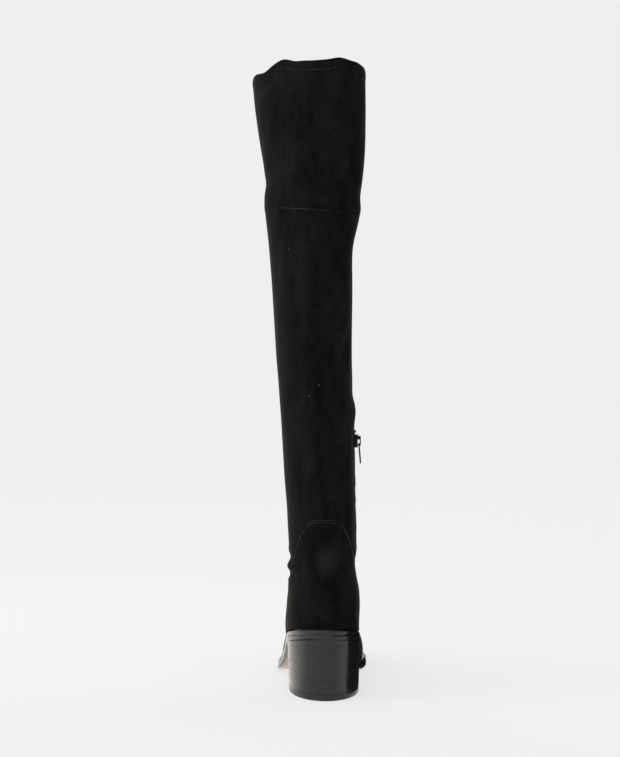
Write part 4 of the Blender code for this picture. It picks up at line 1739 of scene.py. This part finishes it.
@dataclass
class Lint:
    """A few pale fibres caught in the nap."""

    upper: Upper
    spots: tuple[Point, ...] = ((-4.2, 297.0, 1.4), (-13.6, 286.7, 1.0), (-33.0, 426.0, 0.7))

    def build(self, fibre: bpy.types.Material) -> None:
        """Lay the fibres on the suede.

        Args:
            fibre: Their material.
        """
        chance = random.Random(4)
        work = bmesh.new()
        for across, height, length in self.spots:
            found = self.upper.from_behind(across, height)
            if not found:
                continue
            place, normal = found
            way = Vector((chance.uniform(-1.0, 1.0), 0.0, chance.uniform(-1.0, 1.0)))
            stand = place_at(place + normal * 0.12 * MM, way, normal)
            add_bead(work, stand, (0.5 * length, 0.16, 0.12), rings=6)
        finish_piece(work, "lint", [fibre], Body.BOOT)


@dataclass
class Studio:
    """Pale floor and backdrop, soft light from the lateral side, and the camera."""

    eye: Point = (0.040, -1.440, 0.30315)
    aim_across: float = -0.0136
    lens: float = 71.33
    paper: float = 0.25
    glow: float = 0.65
    warm: Colour = (1.0, 0.965, 0.91, 1.0)
    world: Pair = (1.0, 0.42)
    floor_side: float = 6.0
    floor_back: float = 2.2
    bend: float = 1.2
    wall: float = 4.0

    def camera(self) -> None:
        """Place the camera level behind the boot."""
        data = bpy.data.cameras.new("view")
        data.lens, data.sensor_width, data.sensor_fit = self.lens, 36.0, "AUTO"
        data.clip_start, data.clip_end = 0.05, 30.0
        made = link_object("view", data)
        made.location = self.eye
        aim = Vector((self.aim_across, 0.0, self.eye[2])) - Vector(self.eye)
        made.rotation_euler = aim.to_track_quat("-Z", "Y").to_euler()
        bpy.context.scene.camera = made

    def screen(self, name: str, middle: Point, size: Pair, lean: float, level: float,
               glow: float, fade: Pair, source: Pair = (0.0, 0.0)) -> None:
        """Place a thin card beside the boot that only glossy surfaces see.

        Args:
            name: Its name.
            middle: Its middle, in metres.
            size: Its length across and forward before it is leaned.
            lean: Degrees that it is turned up about its forward axis.
            level: How pale it is.
            glow: Its own light.
            fade: Ratios of forward to across between which it fades in.
            source: Place that the ratios are taken from.
        """
        work = bmesh.new()
        stand = Matrix.Translation(middle) @ Matrix.Rotation(math.radians(lean), 4, "Y")
        bmesh.ops.create_grid(work, x_segments=1, y_segments=1, size=0.5,
                              matrix=stand @ Matrix.Diagonal((*size, 1.0, 1.0)))
        made, sheet, shader, place = new_sheet(name, Roughness=1.0, Specular_IOR_Level=0.0)
        axes = sheet.add("SeparateXYZ", {"Vector": place}).outputs
        ratio = sheet.math("DIVIDE", sheet.less(axes["Y"], source[1]),
                           sheet.math("ABSOLUTE", sheet.less(axes["X"], source[0])))
        sheet.feed(shader, {"Base Color": grey(level), "Emission Color": self.warm,
                            "Emission Strength": glow, "Alpha": sheet.ramp(ratio, *fade)})
        mesh = take_mesh(work, name)
        mesh.materials.append(made)
        card = link_object(name, mesh)
        card.visible_camera = card.visible_diffuse = card.visible_shadow = False

    def lamp(self, name: str, size: Pair, place: Point, aim: Point, power: float,
             mirrored: bool = True) -> None:
        """Place a soft lamp.

        Args:
            name: Its name.
            size: Width and height in metres.
            place: Its middle.
            aim: Point that it faces.
            power: Watts.
            mirrored: Whether polished surfaces show it.
        """
        data = bpy.data.lights.new(name, "AREA")
        data.shape, data.size, data.size_y, data.energy = "RECTANGLE", *size, power
        made = link_object(name, data)
        made.visible_glossy = mirrored
        made.location = place
        made.rotation_euler = (Vector(aim) - Vector(place)).to_track_quat("-Z", "Y").to_euler()

    def floor(self) -> None:
        """Build the pale floor, which rises into a backdrop."""
        work = bmesh.new()
        verts = [work.verts.new((-self.floor_side, -self.floor_side, 0.0)),
                 work.verts.new((-self.floor_side, self.floor_back, 0.0))]
        work.edges.new(verts)
        turned = bmesh.ops.spin(work, geom=[verts[1]], cent=(0.0, self.floor_back, self.bend),
                                axis=(1.0, 0.0, 0.0), angle=math.radians(90.0), steps=16,
                                dvec=(0.0, 0.0, 0.0))["geom_last"]
        top = next(item for item in turned if isinstance(item, bmesh.types.BMVert))
        bmesh.ops.extrude_vert_indiv(work, verts=[top])["verts"][0].co.z += self.wall
        swept = bmesh.ops.extrude_edge_only(work, edges=work.edges)["geom"]
        bmesh.ops.translate(work, vec=(2.0 * self.floor_side, 0.0, 0.0),
                            verts=[item for item in swept
                                   if isinstance(item, bmesh.types.BMVert)])
        bmesh.ops.recalc_face_normals(work, faces=work.faces)
        for face in work.faces:
            face.smooth = True
        made, sheet, shader, place = new_sheet("paper", Roughness=0.9, Specular_IOR_Level=0.1)
        tone = sheet.mix(sheet.noise(place, 2.0, detail=2.0, rough=0.5), grey(self.paper),
                         grey(self.paper * 0.99))
        sheet.feed(shader, {"Base Color": tone, "Emission Color": WHITE,
                            "Emission Strength": self.glow})
        mesh = take_mesh(work, "floor")
        mesh.materials.append(made)
        link_object("floor", mesh)

    def surroundings(self) -> None:
        """Light the room from all around, more from the lateral side."""
        world = bpy.data.worlds.new("surroundings")
        world.use_nodes = True
        sheet = Sheet(world.node_tree)
        axes = sheet.add("SeparateXYZ", {"Vector": sheet.add("TexCoord").outputs["Generated"]})
        sheet.feed(world.node_tree.nodes["Background"].inputs, {
            "Color": WHITE,
            "Strength": sheet.ramp(axes.outputs["X"], -1.0, 1.0, *self.world)})
        bpy.context.scene.world = world
        bpy.context.scene.view_settings.view_transform = "Standard"

    def build(self) -> None:
        """Build floor, surroundings, cards, lamps and camera."""
        self.floor()
        self.surroundings()
        self.camera()
        self.lamp("key_left", (1.0, 1.8), (-2.4, -0.5, 1.0), (0.0, 0.0, 0.3), 20.0,
                  mirrored=False)
        self.lamp("top", (2.2, 2.2), (0.0, -0.2, 2.8), (0.0, 0.1, 0.0), 8.0)
        self.screen("dark_card", (0.0465, 0.105, 0.31), (0.62, 0.27), 90.0, 0.03, 0.0,
                    (0.12, 0.4), (0.022, -0.021))
        self.screen("dark_mat", (0.117, 0.105, 0.0012), (0.16, 0.27), 0.0, 0.03, 0.0,
                    (0.12, 0.4), (0.022, -0.021))
        self.screen("light_card", (-0.34, 0.2, 0.0008), (0.6, 1.2), 0.0, 0.0, 1.3, (-0.4, 0.4))
        self.screen("soft_card", (0.34, -0.2, 0.0008), (0.6, 1.2), 0.0, 0.0, 1.0, (-1.2, -0.3))


def main() -> None:
    """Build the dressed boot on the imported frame."""
    logging.basicConfig(level=logging.INFO, format="%(name)s: %(message)s")
    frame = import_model()
    effects = Effects()
    suede = SuedeFinish("suede_black").material(effects)
    # the counter's suede carries a painted highlight above the heel
    counter = SuedeFinish("suede_counter", strokes=0.3,
                          painted_highlight=(0.0043, -0.021, 0.1306)).material(effects)
    lining = LeatherFinish("lining_black", (0.012, 0.011, 0.010, 1.0), (0.022, 0.020, 0.018, 1.0),
                           roughness=0.7, grain=1400.0).material(effects)
    finishes = {
        "insole": LeatherFinish("insole_black", (0.012, 0.011, 0.010, 1.0),
                                (0.03, 0.027, 0.024, 1.0), roughness=0.5).material(effects),
        "tan": LeatherFinish("sole_tan", (0.50, 0.37, 0.25, 1.0), (0.60, 0.47, 0.34, 1.0),
                             roughness=0.42, grain=1200.0).material(effects),
        "edge": StackFinish("edge_ink", relief=0.000008).material(effects),
        "stack": StackFinish("stack_ink").material(effects),
        "rubber": SolidFinish("rubber_black", grey(0.010), (0.03, 0.028, 0.026, 1.0),
                              roughness=0.6, relief=0.0001).material(effects),
    }
    metal = SolidFinish("metal_black", grey(0.006), (0.03, 0.03, 0.029, 1.0), roughness=0.42,
                        shine=0.2, scale=500.0, wear=(0.62, 0.8)).material(effects)
    chain = SolidFinish("chain_black", (0.014, 0.014, 0.015, 1.0), (0.09, 0.088, 0.085, 1.0),
                        roughness=0.34, metallic=0.4, scale=420.0).material(effects)
    tape = SolidFinish("tape_black", grey(0.005), grey(0.012), roughness=0.85, weave=520.0,
                       relief=0.00012).material(effects)
    pale = SolidFinish("thread_grey", (0.022, 0.021, 0.019, 1.0), (0.17, 0.16, 0.145, 1.0),
                       roughness=0.8, scale=60.0, wear=(0.42, 0.68)).material(effects)
    dim = SolidFinish("thread_dim", (0.012, 0.0115, 0.0105, 1.0), (0.075, 0.07, 0.062, 1.0),
                      roughness=0.8, scale=60.0, wear=(0.45, 0.7)).material(effects)
    dark = SolidFinish("thread_black", (0.0035, 0.0034, 0.0032, 1.0), (0.014, 0.0134, 0.0122, 1.0),
                       roughness=0.7, scale=45.0, wear=(0.5, 0.7)).material(effects)
    fibre = SolidFinish("lint_pale", (0.5, 0.48, 0.46, 1.0), (0.6, 0.58, 0.55, 1.0),
                        roughness=0.9).material(effects)

    upper = Upper(frame)
    upper.build_wall(suede, lining)
    upper.build_counter(counter)
    Seams(upper).build(pale, dim, dark, suede)
    Zip(frame, upper).build(tape, chain, metal, suede, dark)
    Bottom(frame).build(finishes)
    Lint(upper).build(fibre)
    Studio().build()


if __name__ == "__main__":
    main()
